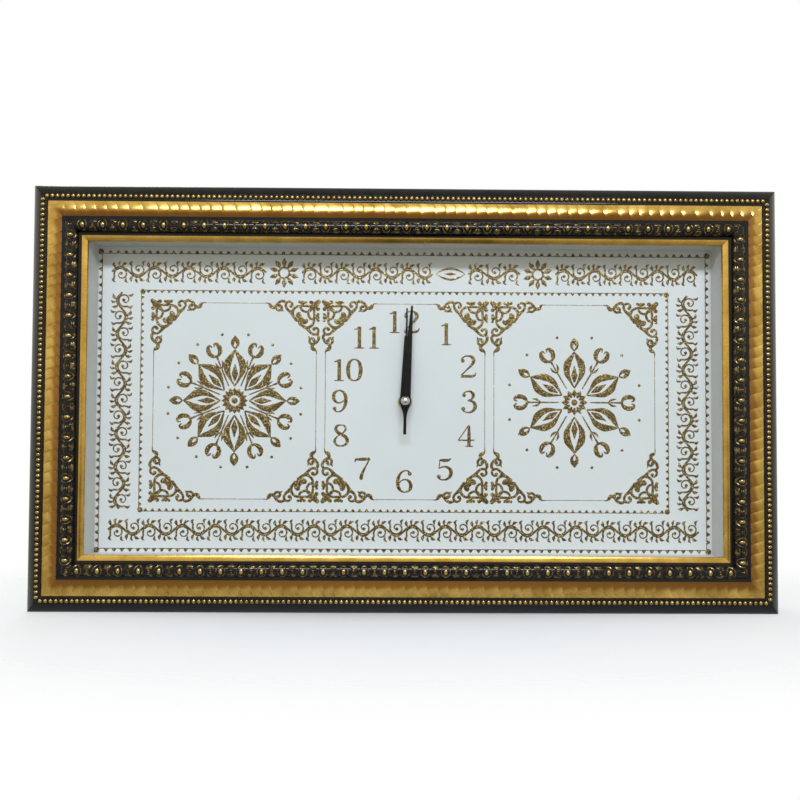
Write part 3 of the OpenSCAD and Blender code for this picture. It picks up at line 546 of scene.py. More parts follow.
# %% Model one egg
EGG_PITCH, EGG_MARGIN = 17.3, 3.9
BOSS, BOSS_SUNK = (1.9, 3.2, 1.5), 0.75
RING, RING_TUBE = (3.75, 4.45, 1), (0.125, 0.55)  # half sizes, and half width share and height
RIBS = ((0.9, 1.3, 0.7), (2.8, 3.3, 1.0), (4.3, 3.6, 1.0))  # across, half length, half width
RIB_H, RIB_SUNK = 0.75, 0.2
WRAP_LIMIT = 0.985


def tagged(bm, made, index):
    for face in {f for v in made for f in v.link_faces}:
        face.material_index = index
    return made


def egg():
    bm = bmesh.new()
    boss = bmesh.ops.create_uvsphere(bm, u_segments=12, v_segments=8, radius=1)["verts"]
    bmesh.ops.scale(bm, verts=tagged(bm, boss, 4), vec=BOSS)
    bmesh.ops.translate(bm, verts=boss, vec=(0, 0, -BOSS_SUNK))
    tube = bmesh.ops.create_circle(bm, segments=6, radius=1)["verts"]
    bmesh.ops.rotate(bm, verts=tube, cent=(0, 0, 0), matrix=LYING)
    bmesh.ops.scale(bm, verts=tube, vec=(RING_TUBE[0], 1, RING_TUBE[1]))
    bmesh.ops.translate(bm, verts=tube, vec=(1, 0, 0))
    tube_edges = list({e for v in tube for e in v.link_edges})
    before = set(bm.verts) - set(tube)
    bmesh.ops.spin(bm, geom=tube + tube_edges, cent=(0, 0, 0), axis=(0, 0, 1),
                   angle=2 * math.pi, steps=20, use_merge=True)
    ring = [v for v in bm.verts if v not in before]
    bmesh.ops.scale(bm, verts=tagged(bm, ring, 5), vec=RING)
    for side in (-1, 1):
        for across, long, half in RIBS:
            rib = bmesh.ops.create_uvsphere(bm, u_segments=8, v_segments=5, radius=1)["verts"]
            bmesh.ops.scale(bm, verts=tagged(bm, rib, 5), vec=(long, half, RIB_H))
            bmesh.ops.translate(bm, verts=rib, vec=(EGG_PITCH / 2, side * across, -RIB_SUNK))
    for vert in bm.verts:
        turn = math.asin(max(-WRAP_LIMIT, min(WRAP_LIMIT, vert.co.y / EGG_R)))
        radius = EGG_R + vert.co.z
        vert.co = at(EGG_U + radius * math.sin(turn), D_EGG + radius * math.cos(turn), vert.co.x)
    bmesh.ops.recalc_face_normals(bm, faces=bm.faces)
    return bm


def stamp(bm, motif, shifts):
    """Adds a copy of the motif bmesh at each shift or matrix, then frees the motif."""
    mesh = bpy.data.meshes.new("motif")
    motif.to_mesh(mesh)
    motif.free()
    for shift in shifts:
        start = len(bm.verts)
        bm.from_mesh(mesh)
        bm.verts.ensure_lookup_table()
        bmesh.ops.transform(bm, matrix=shift, verts=bm.verts[start:])
    bpy.data.meshes.remove(mesh)


print(len(row_places(FRAME_W, EGG_U, EGG_PITCH, EGG_MARGIN)), "eggs on a long rail")

# %% [markdown]
# The top rail has a shallow pocket in its back for the hanger plate, or the plate would
# stand off the wall. A boolean would leave a ragged mesh, so the back is split along the
# plate's outline, the patch is pushed in, and the wall that now lies on the open rabbet
# side is taken away.

# %% Pocket for the hanger plate
POCKET = 1.5


def hanger_pocket(bm):
    low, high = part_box("hanger_plate")
    top = (rail_high.z - high.z) / MM
    sides = (low.x, high.x)
    cuts = [((x, 0, 0), (1, 0, 0)) for x in sides]
    cuts += [(at(top, 0), (0, 0, 1)), (at(0, POCKET + BACK), (0, 1, 0))]
    for place, normal in cuts:
        near = [f for f in bm.faces if -f.calc_center_median().y < (D_LIP + 0.5) * MM]
        geom = near + list({e for f in near for e in f.edges}) + list({v for f in near for v in f.verts})
        bmesh.ops.bisect_plane(bm, geom=geom, dist=1e-7, plane_co=place, plane_no=normal)

    def inside(face, reach):
        middle = face.calc_center_median()
        return sides[0] < middle.x < sides[1] and -middle.y < reach * MM

    patch = [f for f in bm.faces if inside(f, 0.2) and top < -f.calc_center_median().z / MM < RABBET]
    pushed = bmesh.ops.extrude_face_region(bm, geom=patch)["geom"]
    bmesh.ops.delete(bm, geom=patch, context="FACES_ONLY")
    moved = [g for g in pushed if isinstance(g, bmesh.types.BMVert)]
    bmesh.ops.translate(bm, verts=moved, vec=(0, -POCKET * MM, 0))
    mouth = [f for f in bm.faces if inside(f, POCKET + 0.04)
             and abs(-f.calc_center_median().z / MM - RABBET) < 0.01]
    bmesh.ops.delete(bm, geom=mouth, context="FACES_ONLY")
    bmesh.ops.remove_doubles(bm, verts=bm.verts, dist=0.002 * MM)
    print("hanger pocket:", len(patch), "face pushed in,", len(mouth), "taken away")


# %% [markdown]
# The four rails differ only in length and in the turn that brings them to their side. Each
# is built lying along X, dressed with its foil, beads and eggs, and then turned into place
# in its mesh, so that its object stays at the origin.

# %% Build the four rails
SIDES = {"top": (FRAME_W, 0, FRAME_H / 2), "bottom": (FRAME_W, 180, FRAME_H / 2),
         "left": (FRAME_H, -90, FRAME_W / 2), "right": (FRAME_H, 90, FRAME_W / 2)}
for side, (length, turn, reach) in SIDES.items():
    body = rail_body(length)
    if side == "top":
        hanger_pocket(body)
    stamp(body, cove_strip(length), [Matrix.Identity(4)])
    for motif, places in ((bead(), row_places(length, BEAD_U, BEAD_PITCH, BEAD_MARGIN)),
                          (egg(), row_places(length, EGG_U, EGG_PITCH, EGG_MARGIN))):
        stamp(body, motif, [Matrix.Translation((x * MM, 0, 0)) for x in places])
    raw = back_across if turn in (0, 180) else back_upright
    rail_finishes = [black_lacquer, lip_gold, raw, cove_gold, bead_gold, rubbed_gold]
    to_side = (Matrix.Translation((0, 0, Z_MID * MM)) @ Matrix.Rotation(math.radians(turn), 4, "Y")
               @ Matrix.Translation((0, 0, reach * MM)))
    bmesh.ops.transform(body, matrix=to_side, verts=body.verts)
    piece(f"rail_{side}", body, rail_finishes, "clock",
          replaced=[f"frame_{side}"], turn_out=False)

# %% [markdown]
# ## The print on the panel
# Numerals, borders and corner scrolls are printed in gold ink with glitter in it. Ink
# has a thickness, so it is modelled, not painted: a stroke is a curve whose points carry
# a half width, its round bevel gives the stroke's width, and the mesh that comes out is
# pressed flat to the height of the ink. Glitter is a mosaic of flakes of about half a
# millimetre, each with its own shade, gloss and height.

# %% Glitter ink
glitter = Finish("glitter_ink", Metallic=0.75, Roughness=0.36)
flakes = glitter.add("ShaderNodeTexVoronoi", Vector=glitter.place, Scale=1700.0)
lot = glitter.add("ShaderNodeSeparateXYZ", Vector=flakes.outputs["Color"])
shade = glitter.ramp(lot.outputs["X"], (0.0, (0.060, 0.032, 0.011)), (0.55, (0.160, 0.092, 0.030)),
                     (0.84, (0.32, 0.205, 0.055)), (0.97, (0.90, 0.76, 0.34)))
glitter_ink = glitter.wear(shade, glitter.math("MULTIPLY_ADD", lot.outputs["Y"], 0.3, 0.22),
                           lot.outputs["Z"], 0.25, 0.9)
print("ink:", glitter_ink.name)

# %% Strokes
INK_PRESS = 0.11
DROP_H, DROP_TOP, DROP_LIFT = 0.3, 0.75, 0.04
on_panel = (Matrix.Translation((0, -FACE_D * MM, Z_AXIS * MM))
            @ Matrix.Rotation(math.pi / 2, 4, "X"))


def strokes(lines, steps=5, handle="AUTO"):
    """A flat bmesh of ink strokes of (x, y, half width) in mm; one point alone is a blob."""
    curve = bpy.data.curves.new("ink", "CURVE")
    curve.dimensions = "3D"
    curve.bevel_depth = MM
    curve.bevel_resolution = 1
    curve.resolution_u = steps
    curve.use_fill_caps = True
    for line in (line for line in lines if len(line) > 1):
        closed = line[0] == line[-1]
        knots = line[:-1] if closed else line
        spline = curve.splines.new("BEZIER")
        spline.bezier_points.add(len(knots) - 1)
        spline.use_cyclic_u = closed
        for knot, (x, y, half) in zip(spline.bezier_points, knots):
            knot.co = (x * MM, y * MM, 0)
            knot.radius = half
            knot.handle_left_type = handle
            knot.handle_right_type = handle
    drawn = bpy.data.objects.new("ink", curve)
    scene.collection.objects.link(drawn)
    bpy.context.view_layer.update()
    mesh = bpy.data.meshes.new_from_object(
        drawn.evaluated_get(bpy.context.evaluated_depsgraph_get()))
    bm = bmesh.new()
    for x, y, half in (line[0] for line in lines if len(line) == 1):
        ball = bmesh.ops.create_uvsphere(bm, u_segments=12, v_segments=6, radius=half * MM)["verts"]
        bmesh.ops.translate(bm, verts=ball, vec=(x * MM, y * MM, 0))
    bm.from_mesh(mesh)
    bpy.data.objects.remove(drawn)
    bpy.data.curves.remove(curve)
    bpy.data.meshes.remove(mesh)
    bmesh.ops.scale(bm, verts=bm.verts, vec=(1, 1, INK_PRESS))
    return bm


def drops(bm, places):
    """Round drops of ink: (x, y, radius) in mm, each a low cone with a cut-off top."""
    for x, y, radius in places:
        made = bmesh.ops.create_cone(bm, cap_ends=True, segments=10, radius1=radius * MM,
                                     radius2=DROP_TOP * radius * MM, depth=DROP_H * MM)["verts"]
        bmesh.ops.translate(bm, verts=made, vec=(x * MM, y * MM, DROP_LIFT * MM))


def printed(name, bm):
    bmesh.ops.transform(bm, matrix=on_panel, verts=bm.verts)
    piece(name, bm, [glitter_ink], "clock", angle=50)


trial = strokes([[(0, 0, 0.5), (10, 0, 0.5)]])
print("a short stroke has", len(trial.faces), "faces")
trial.free()

# %% [markdown]
# The numerals are drawn as pen strokes: a heavy stroke where a broad pen comes
# down, a hairline where it crosses, and thin serifs. A font could draw them, but its
# outlines have no pen in them that ink could follow. The unit is the height of a figure,
# and the nine is the six turned round. The place of each number is read off the picture,
# in pixels from the hand axis, and PIXEL is the size of one pixel on the panel.

# %% Numerals
FIGURES = {
    "0": [[(0, .978, .026), (-.15, .90, .052), (-.225, .68, .08), (-.225, .32, .08),
           (-.15, .10, .052), (0, .022, .026), (.15, .10, .052), (.225, .32, .08),
           (.225, .68, .08), (.15, .90, .052), (0, .978, .026)]],
    "1": [[(.03, .02, .074), (.03, .5, .072), (.03, .985, .074)],
          [(-.19, .865, .022), (-.06, .90, .038), (.03, .965, .04)],
          [(-.18, .02, .02), (.03, .026, .034), (.24, .02, .02)]],
    "2": [[(-.20, .745, .052), (-.215, .84, .036), (-.13, .945, .03), (.0, .975, .036),
           (.14, .91, .066), (.185, .77, .076), (.12, .58, .056), (-.05, .35, .032),
           (-.25, .09, .03)], [(-.19, .755, .082)],
          [(-.255, .058, .056), (-.05, .062, .062), (.15, .066, .06), (.225, .11, .04),
           (.27, .225, .018)]],
    "3": [[(-.19, .785, .05), (-.18, .88, .034), (-.05, .972, .028), (.10, .925, .06),
           (.145, .785, .07), (.09, .64, .045), (-.05, .555, .022)],
          [(-.05, .555, .022), (.09, .525, .05), (.20, .40, .074), (.20, .22, .076),
           (.10, .065, .05), (-.03, .025, .03), (-.17, .075, .034), (-.225, .19, .054)],
          [(-.175, .80, .08)], [(-.205, .185, .084)]],
    "4": [[(.10, .015, .07), (.10, .5, .07), (.10, .97, .05)],
          [(.08, .96, .026), (-.10, .64, .023), (-.285, .325, .023)],
          [(-.30, .295, .03), (0, .295, .032), (.31, .295, .03)],
          [(-.05, .02, .02), (.10, .026, .032), (.25, .02, .02)]],
    "5": [[(-.165, .91, .04), (-.04, .895, .066), (.10, .902, .064), (.215, .975, .022)],
          [(-.165, .93, .02), (-.18, .74, .021), (-.20, .52, .022)],
          [(-.20, .52, .022), (-.07, .605, .032), (.09, .585, .052), (.205, .44, .076),
           (.205, .26, .078), (.11, .08, .052), (-.03, .025, .03), (-.17, .07, .036),
           (-.225, .18, .054)], [(-.205, .175, .084)]],
    "6": [[(.185, .83, .05), (.13, .945, .03), (.03, .975, .026), (-.12, .885, .042),
           (-.215, .67, .068), (-.24, .40, .078), (-.195, .17, .066), (-.08, .04, .036),
           (.04, .025, .03), (.165, .12, .062), (.21, .30, .077), (.16, .48, .06),
           (.04, .575, .034), (-.08, .55, .028), (-.18, .45, .024)], [(.17, .835, .082)]],
    "7": [[(-.25, .905, .046), (0, .912, .068), (.25, .925, .06)],
          [(-.25, .96, .026), (-.26, .88, .034), (-.285, .78, .02)],
          [(.255, .93, .03), (.12, .62, .032), (.02, .38, .05), (-.04, .18, .07),
           (-.055, .05, .076)], [(-.055, .065, .078)]],
    "8": [[(0, .975, .026), (-.13, .92, .05), (-.175, .79, .066), (-.11, .65, .066),
           (.05, .53, .068), (.19, .39, .074), (.22, .24, .07), (.14, .075, .05), (0, .022, .028)],
          [(0, .975, .026), (.12, .93, .036), (.165, .80, .044), (.11, .665, .032),
           (-.01, .56, .024), (-.14, .43, .032), (-.21, .26, .054), (-.15, .085, .05),
           (0, .022, .028)]],
}
FIGURES["9"] = [[(-x, 1 - y, half) for x, y, half in line] for line in FIGURES["6"]]
FIGURE_H = 20.0
PEN = 1.1  # how much heavier than drawn
WIDE = 1.3  # how much wider than drawn, apart from the figures below
BREADTH = {"0": 1.18, "1": 1.04, "4": 1.2, "7": 1.24, "9": 1.22}
SPACING = {10: 0.71, 11: 0.66, 12: 0.79}
PIXEL = 0.897
HOURS = {12: (-2.6, 80), 1: (40.4, 68.1), 2: (63.3, 35.6), 3: (64.2, 0.1), 4: (61.5, -33.8),
         5: (40.0, -67.4), 6: (0.1, -79.6), 7: (-41.9, -67.0), 8: (-64.0, -34.2), 9: (-65.8, 0.1),
         10: (-58.8, 31.4), 11: (-39.4, 64.2)}


def numeral(hour):
    x, y = (PIXEL * value for value in HOURS[hour])
    lines = []
    for place, figure in enumerate(str(hour)):
        shift = (place - 0.5) * SPACING[hour] if hour in SPACING else 0
        wide = BREADTH.get(figure, WIDE)
        lines += [[(x + (a * wide + shift) * FIGURE_H, y + (b - 0.5) * FIGURE_H,
                    PEN * half * FIGURE_H) for a, b, half in line] for line in FIGURES[figure]]
    return lines


printed("print_numerals", strokes([line for hour in HOURS for line in numeral(hour)], 6))

# %% [markdown]
# ## Borders
# Two toothed borders run round the panel, with teeth on the outside of the outer line and
# on the inside of the inner one, and three fields are ruled with a hairline. Straight
# lines are the same strokes with vector handles, which keep their corners sharp, and a
# tooth is a stroke that starts broad on the line and ends in a point.

# %% Toothed borders
OUTER = (271.9, 132.1)
INNER = (237.2, 99.0)
FIELDS = {"left": (-225.6, -79.9), "centre": (-71.7, 71.7), "right": (79.9, 225.0)}
FIELD_H = 87.9
RULE = 0.5  # half width of a ruled line
OUTER_TEETH = (7.05, 2.9, 2.3)  # pitch, reach and half width
INNER_TEETH = (6.2, -2.5, 2.05)
OUTER_LEFT = 0.7  # the outer border sits a little to the left


def teeth(size, pitch, out, half):
    """Teeth on all sides of a border, out from its line or in if negative, and corner balls."""
    lines = []
    for along, across in ((0, 1), (1, 0)):
        count = round(2 * size[along] / pitch)
        for i in range(1, count):
            for side in (-1, 1):
                foot, tip = [0, 0, half], [0, 0, 0.25 * half]
                foot[along] = tip[along] = size[along] * (2 * i / count - 1)
                foot[across] = side * size[across]
                tip[across] = side * (size[across] + out)
                lines.append([tuple(foot), tuple(tip)])
    return lines + [[(x * (size[0] + out / 2), y * (size[1] + out / 2), 1.2 * half)]
                    for x in (-1, 1) for y in (-1, 1)]


def ruled(x0, x1, y0, y1, half):
    return [[(x0, y0, half), (x1, y0, half), (x1, y1, half), (x0, y1, half), (x0, y0, half)]]


outer = ruled(-OUTER[0], OUTER[0], -OUTER[1], OUTER[1], RULE) + teeth(OUTER, *OUTER_TEETH)
inner = ruled(-INNER[0], INNER[0], -INNER[1], INNER[1], RULE) + teeth(INNER, *INNER_TEETH)
outer = [[(x - OUTER_LEFT, y, half) for x, y, half in line] for line in outer]
borders = strokes(outer + inner, 1, "VECTOR")
printed("print_borders", borders)

# %% [markdown]
# ## Corner scrolls
# Each of the three fields has the same scrollwork in its four corners: a flower in the
# corner, two stems with a knob, scrolls that meet in a lily on the diagonal, smaller
# scrolls outwards and a leaf that runs into the hairline. One half is drawn, mirrored
# about the diagonal, and the whole corner is stamped twelve times.

# %% Corner scrolls
HALF_CORNER = [
    [(5.5, 5.9, 1.2), (11, 5.6, 1.0), (18, 5.5, .95), (22.5, 6.1, 1.0), (25.8, 8.6, 1.05),
     (27.4, 12.2, 1.3), (26.6, 15.6, 1.2), (24.4, 18.2, 1.25), (22.8, 19.6, 1.5)],
    [(27.6, 12.6, 1.9), (30.4, 10.7, 1.25), (33.1, 8.0, 1.0), (34.2, 4.8, 1.0), (32.8, 2.0, 1.0),
     (29.9, 1.4, .95), (27.7, 3.1, .9), (27.6, 5.3, .9), (28.7, 5.9, 1.1)],
    [(33.4, 2.6, .9), (36.4, .8, 1.2), (40.2, 1.7, 1.1), (43.1, 4.6, 1.05), (43.8, 7.6, 1.0),
     (42.2, 9.7, 1.05), (39.7, 9.9, 1.0), (38.1, 8.2, .95), (38.5, 6.3, .95), (40.0, 5.8, 1.2)],
    [(39.4, 9.8, .95), (37.4, 10.2, .75), (35.7, 11.2, .16)],
    [(43.2, 5.0, 1.0), (45.8, 7.3, 1.3), (48.4, 6.7, 1.6), (49.9, 4.4, 1.2), (51.6, 3.1, .5),
     (55, 3.1, .3)],
    [(6.2, 6.8, .9), (8.6, 9.6, .88), (12, 11.4, .95), (15.6, 11.0, 1.0), (18.2, 9.2, 1.0),
     (19.0, 6.8, .95), (18.6, 5.5, .9)],
    [(17.1, 5.4, .8), (17.1, 3.6, .9), (17.1, 2.4, 1.2)],
    [(14.3, 1.9, 1.0), (15.6, 2.9, .8), (17.1, 3.3, .7), (18.6, 2.8, .8), (19.9, 1.7, 1.0)],
    [(19.6, 19.0, 2.1), (21.2, 16.9, 1.8), (21.4, 14.8, 2.0), (20.2, 13.2, 1.5), (18.4, 13.2, .5)],
    [(4.4, 4.0, 1.5), (6.6, 3.2, 1.3), (8.2, 2.1, 1.4)],
    [(28.8, 5.8, 1.45)], [(40.3, 5.6, 1.45)], [(23.2, 19.3, 1.8)], [(8.6, 1.8, 1.6)],
    [(17.1, 1.9, 1.5)], [(14.0, 1.7, 1.2)], [(20.2, 1.5, 1.2)], [(20.9, 14.7, 2.2)],
]
DIAGONAL = [
    [(1.2, 1.2, 1.5), (4.2, 4.2, 2.6), (7.8, 7.8, 1.2)], [(1.3, 1.3, 1.8)],
    [(17.0, 17.0, 1.2), (19.6, 19.6, 2.5), (21.9, 21.9, .9)],
]
CORNER_OUT, CORNER_REACH, CORNER_PEN = 3.1, 54, 1.3
HAIRLINE, OVERLAP = 0.26, 3


def corner():
    lines = DIAGONAL + HALF_CORNER + [[(y, x, half) for x, y, half in line] for line in HALF_CORNER]
    return strokes([[(x * PIXEL, y * PIXEL, CORNER_PEN * half * PIXEL) for x, y, half in line]
                    for line in lines], 4)


def corner_places(x0, x1):
    out = CORNER_OUT * PIXEL
    for x, right in ((x0 - out, 1), (x1 + out, -1)):
        for y, up in ((-FIELD_H - out, 1), (FIELD_H + out, -1)):
            yield (Matrix.Translation((x * MM, y * MM, 0))
                   @ Matrix.Diagonal((right, up, 1, 1)))


scrolls = bmesh.new()
stamp(scrolls, corner(), [m for span in FIELDS.values() for m in corner_places(*span)])
free = CORNER_REACH * PIXEL - OVERLAP
hairlines = []
for x0, x1 in FIELDS.values():
    for y in (-FIELD_H, FIELD_H):
        hairlines.append([(x0 + free, y, HAIRLINE), (x1 - free, y, HAIRLINE)])
    for x in (x0, x1):
        hairlines.append([(x, free - FIELD_H, HAIRLINE), (x, FIELD_H - free, HAIRLINE)])
stamp(scrolls, strokes(hairlines, 1, "VECTOR"), [Matrix.Identity(4)])
printed("print_corners", scrolls)

# %% [markdown]
# ## Running vine
# The band between the two borders carries a running vine, an old filling for such bands:
# a stem in waves, a spiral tendril with a bud in every bend and leaves along the outside.
# One bend is a function of where it starts and which way it swings.

# %% Vine in the bands
BEND = 14.6
LEAF_PEN = 1.35
LEAVES = [
    [(3.0, 3.4, .3), (1.6, 6.4, 1.15), (1.9, 9.2, .12)],
    [(8.6, 5.0, .3), (10.6, 7.4, 1.1), (13.4, 8.0, .12)],
    [(6.2, 5.2, .3), (6.0, 8.0, .95), (7.4, 10.2, .12)],
    [(2.7, -4.6, .25), (1.1, -7.6, 1.0), (3.1, -9.6, .12)],
    [(12.2, -5.2, .25), (11.7, -8.4, .9), (13.9, -10, .12)],
]
BAND_Y = (OUTER[1] + INNER[1]) / 2
BAND_X = (OUTER[0] + INNER[0]) / 2


def bend(x, swing):
    middle = x + BEND / 2
    coil = []
    for i in range(11):
        share = i / 10
        turn = math.radians(205 - 470 * share)
        radius = 5.6 * (1 - share) ** 0.85 + 0.9
        coil.append((middle + 0.6 + radius * math.cos(turn),
                     swing * (-2.4 + radius * math.sin(turn)), 0.86 - 0.36 * share))
    coil[-1] = (*coil[-1][:2], 1.0)
    leaves = [[(x + a, swing * b, LEAF_PEN * half) for a, b, half in leaf] for leaf in LEAVES]
    return [coil, [(*coil[-1][:2], 1.5)]] + leaves


def vine(x0, x1):
    count = max(2, round((x1 - x0) / BEND))
    pitch = (x1 - x0) / count
    lines = [[(x0 + pitch * i / 2, (0, 4.9, 0, -4.9)[i % 4], 0.85 if i % 2 else 1.0)
              for i in range(2 * count + 1)]]
    for i in range(count):
        lines += [[(x0 + pitch * i + (x - x0) * pitch / BEND, y, half) for x, y, half in line]
                  for line in bend(x0, 1 if i % 2 == 0 else -1)]
    return lines


def laid(lines, x, y, degrees):
    c, s = math.cos(math.radians(degrees)), math.sin(math.radians(degrees))
    return [[(x + a * c - b * s, y + a * s + b * c, half) for a, b, half in line] for line in lines]


STAR_X = (-109.4, 119.4)
LENS_X = 40.5
bands = []
for x0, x1 in ((-264, STAR_X[0] - 16), (STAR_X[0] + 16, LENS_X - 16),
               (LENS_X + 16, STAR_X[1] - 16), (STAR_X[1] + 16, 264)):
    bands += laid(vine(x0, x1), 0, BAND_Y, 0)
bands += laid(vine(-264, 264), 0, -BAND_Y, 0)
for side in (-1, 1):
    bands += laid(vine(-97, 97), side * BAND_X, 0, 90)
printed("print_vine", strokes(bands, 3))

# %% [markdown]
# ## Stars and medallions
# Two leaf stars break the top band, and the fields beside the dial hold a large round
# medallion each. Both are one petal drawn in pen strokes and turned about a centre, so
# they are even from every side.

# %% Leaf stars
def turned(lines, count, x, y, start=0):
    return [line for i in range(count)
            for line in laid(lines, x, y, start + 360 * i / count)]


star_leaf = [[(4.6, 0, .7), (6.4, 0, 1.0), (9.2, 0, 2.25), (11.4, 0, 1.5), (13.6, 0, .15)]]
circle = [(4.7 * math.cos(math.tau * i / 10), 4.7 * math.sin(math.tau * i / 10), .95) for i in range(11)]
circle[-1] = circle[0]
stars = []
for x in STAR_X:
    stars += turned(star_leaf, 10, x, BAND_Y, 90) + laid([circle], x, BAND_Y, 0)
lens = [[(-13.4, 0, .25), (-6.5, 3.6, .9), (0, 5.0, 1.15), (6.5, 3.6, .9), (13.4, 0, .25)],
        [(-6, 0, .15), (0, 0, 1.5), (6, 0, .15)]]
stars += laid(lens, LENS_X, BAND_Y, 0) + laid(lens[:1], LENS_X, BAND_Y, 180)
printed("print_stars", strokes(stars, 4))

# %% Medallions
PETAL = [
    [(13, 0, .5), (19, 3.4, .9), (27, 6.8, 2.1), (35, 6.0, 2.6), (41, 2.6, 1.5), (46, 0, .3)],
    [(17.5, 0, .4), (24, 0, 2.3), (33, 0, .3)],
    [(46.5, 0, .4), (50.5, 2.4, 1.0), (54, 1.6, 1.6), (58.5, 0, .2)],
]
PETAL += [[(x, -y, half) for x, y, half in line] for line in (PETAL[0], PETAL[2])]
BETWEEN = [
    [(14, 0, .4), (24, 0, .6), (36, 0, .5), (44, 0, .9)],
    [(42, 0, .5), (45, 3.8, 1.5), (50, 5.2, 1.7), (54, 2.6, .8), (51.4, .9, .35)],
    [(30, 0, .3), (34, 2.6, .9), (38, 3.2, .2)],
]
BETWEEN += [[(x, -y, half) for x, y, half in line] for line in BETWEEN[1:]]
MEDALLION_PEN, RIM, RIM_DROP, HEART_DROP = 1.28, 60.5, 1.5, 3.2
HEART = [[(4.6, 0, .5), (8.2, 0, 1.9), (11.6, 0, .3)]]
medallions = []
medallion_drops = []
for side, count in (("left", 8), ("right", 6)):
    x = sum(FIELDS[side]) / 2
    medallions += turned(PETAL, count, x, 0, 90) + turned(BETWEEN, count, x, 0, 90 + 180 / count)
    medallions += turned(HEART, 2 * count, x, 0)
    medallion_drops.append((x, 0, HEART_DROP))
    for i in range(2 * count):
        turn = math.tau * (i + 0.5) / (2 * count)
        medallion_drops.append((x + RIM * math.cos(turn), RIM * math.sin(turn), RIM_DROP))
medallion_ink = strokes([[(x, y, MEDALLION_PEN * half) for x, y, half in line] for line in medallions], 5)
drops(medallion_ink, medallion_drops)
printed("print_medallions", medallion_ink)

# %% [markdown]
# ## Glass, strips and panel
# These solids already have the right shape, so they only get finishes. The pane is thin
# and flat: light passes straight through it, and only its gloss grows towards the edge
# of sight, so it mixes a Transparent and a Glossy shader. Layer Weight's facing, raised to
# a power, sets the share, because unlike Fresnel it acts alike on both faces. The panel is coated
# white in front and bare fibreboard behind, which one finish tells apart by depth.

# %% Pane
pane = Finish("pane_glass")
smear = pane.noise(9, 4)
through = pane.add("ShaderNodeBsdfTransparent", Color=(0.975, 0.985, 0.985, 1))
mirror = pane.add("ShaderNodeBsdfAnisotropic",
                  Roughness=pane.math("MULTIPLY_ADD", smear, 0.06, 0.0))
facing = pane.add("ShaderNodeLayerWeight", Blend=0.5).outputs["Facing"]
grazing = pane.math("MULTIPLY_ADD", pane.math("POWER", facing, 5), 0.85, 0.01)
pane.either(grazing, through, mirror)
pane.tree.nodes.remove(pane.shader)


def dress(finish, *names):
    for name in names:
        nodes[name].data.materials.clear()
        nodes[name].data.materials.append(finish)
    print(finish.name, "on", ", ".join(names))


dress(pane.material, "glass_pane")

# %% Panel and strips
board = Finish("coated_board", Roughness=0.35)
front = board.math("LESS_THAN", board.axis("Y"), panel_low.y + 0.4 * MM)
fibres = board.noise(700, 5, board.stretched(1, 1, 0.5))
mottle = board.noise(25, 4)
brown = board.ramp(board.math("MULTIPLY_ADD", fibres, 0.8, board.math("MULTIPLY", mottle, 0.2)),
                   (0.34, (0.16, 0.09, 0.045)), (0.66, (0.34, 0.21, 0.12)))
white = board.ramp(mottle, (0.3, (0.755, 0.76, 0.755)), (0.7, (0.78, 0.785, 0.78)))
dress(board.wear(board.blend(front, brown, white),
                 board.math("MULTIPLY_ADD", front, -0.45, 0.78), fibres, 0.02, 0.25),
      "picture_panel")

# The strips are white, but are coloured grey here: painted shade, because they stand deep in the box
# beside the panel.
strip = Finish("white_strip", Roughness=0.5)
skin = strip.noise(40, 5)
dress(strip.wear(strip.ramp(skin, (0.3, (0.62, 0.61, 0.59)), (0.7, (0.67, 0.66, 0.64))),
                 strip.math("MULTIPLY_ADD", skin, 0.2, 0.4), strip.noise(1500, 2), 0.02, 0.3),
      "spacer_top", "spacer_bottom", "spacer_left", "spacer_right")

# %% [markdown]
# ## Hands, cap and brass
# Clock hands are stamped from thin sheet and lacquered black. The cap is a polished dome,
# and the nut and washer are turned brass, so their marks are rings about the hand axis:
# a Mapping node moves the ring pattern to that axis.

# %% Hands, cap, nut and washer
hand = Finish("hand_lacquer", Roughness=0.3, Specular_IOR_Level=0.08)
dust = hand.noise(400, 4)
dress(hand.wear(hand.ramp(dust, (0.3, (0.003, 0.003, 0.004)), (0.8, (0.010, 0.008, 0.008))),
                hand.math("MULTIPLY_ADD", dust, 0.2, 0.2), hand.noise(1500, 2), 0.01, 0.3),
      "hour_hand", "minute_hand", "second_hand")

dome = Finish("polished_cap", Metallic=1.0, Roughness=0.08, Base_Color=(0.66, 0.66, 0.67, 1))
haze = dome.noise(900, 4)
dress(dome.wear(dome.ramp(haze, (0.3, (0.56, 0.56, 0.57)), (0.7, (0.76, 0.76, 0.77))),
                dome.math("MULTIPLY_ADD", haze, 0.06, 0.04)), "hand_cap")


def turned_metal(name, deep, bright, rough):
    metal = Finish(name, Metallic=1.0, Roughness=rough)
    centred = metal.add("ShaderNodeMapping", Vector=metal.place, Location=(0, 0, -Z_AXIS * MM))
    rings = metal.add("ShaderNodeTexWave", {"wave_type": "RINGS", "rings_direction": "Y"},
                      Vector=centred.outputs[0], Scale=900.0, Distortion=1.5).outputs["Fac"]
    tarnish = metal.noise(260, 4)
    return metal.wear(metal.ramp(tarnish, (0.3, deep), (0.7, bright)),
                      metal.math("MULTIPLY_ADD", tarnish, 0.2, rough - 0.1), rings, 0.03, 0.5)


dress(turned_metal("turned_brass", (0.42, 0.27, 0.09), (0.70, 0.50, 0.20), 0.3),
      "brass_nut", "brass_washer")

# %% [markdown]
# ## The movement and the fittings on the back
# Moulded plastic has a fine even grain and hardly any colour change, zinc plate has pale
# crystal flowers, and the screws in it are plated yellow. Sheet iron is brushed one way,
# and a coil shows its wire, with painted shade in the grooves between its turns. The sleeve of
# the battery is plain: a dark part, a copper part and bare steel at both ends.

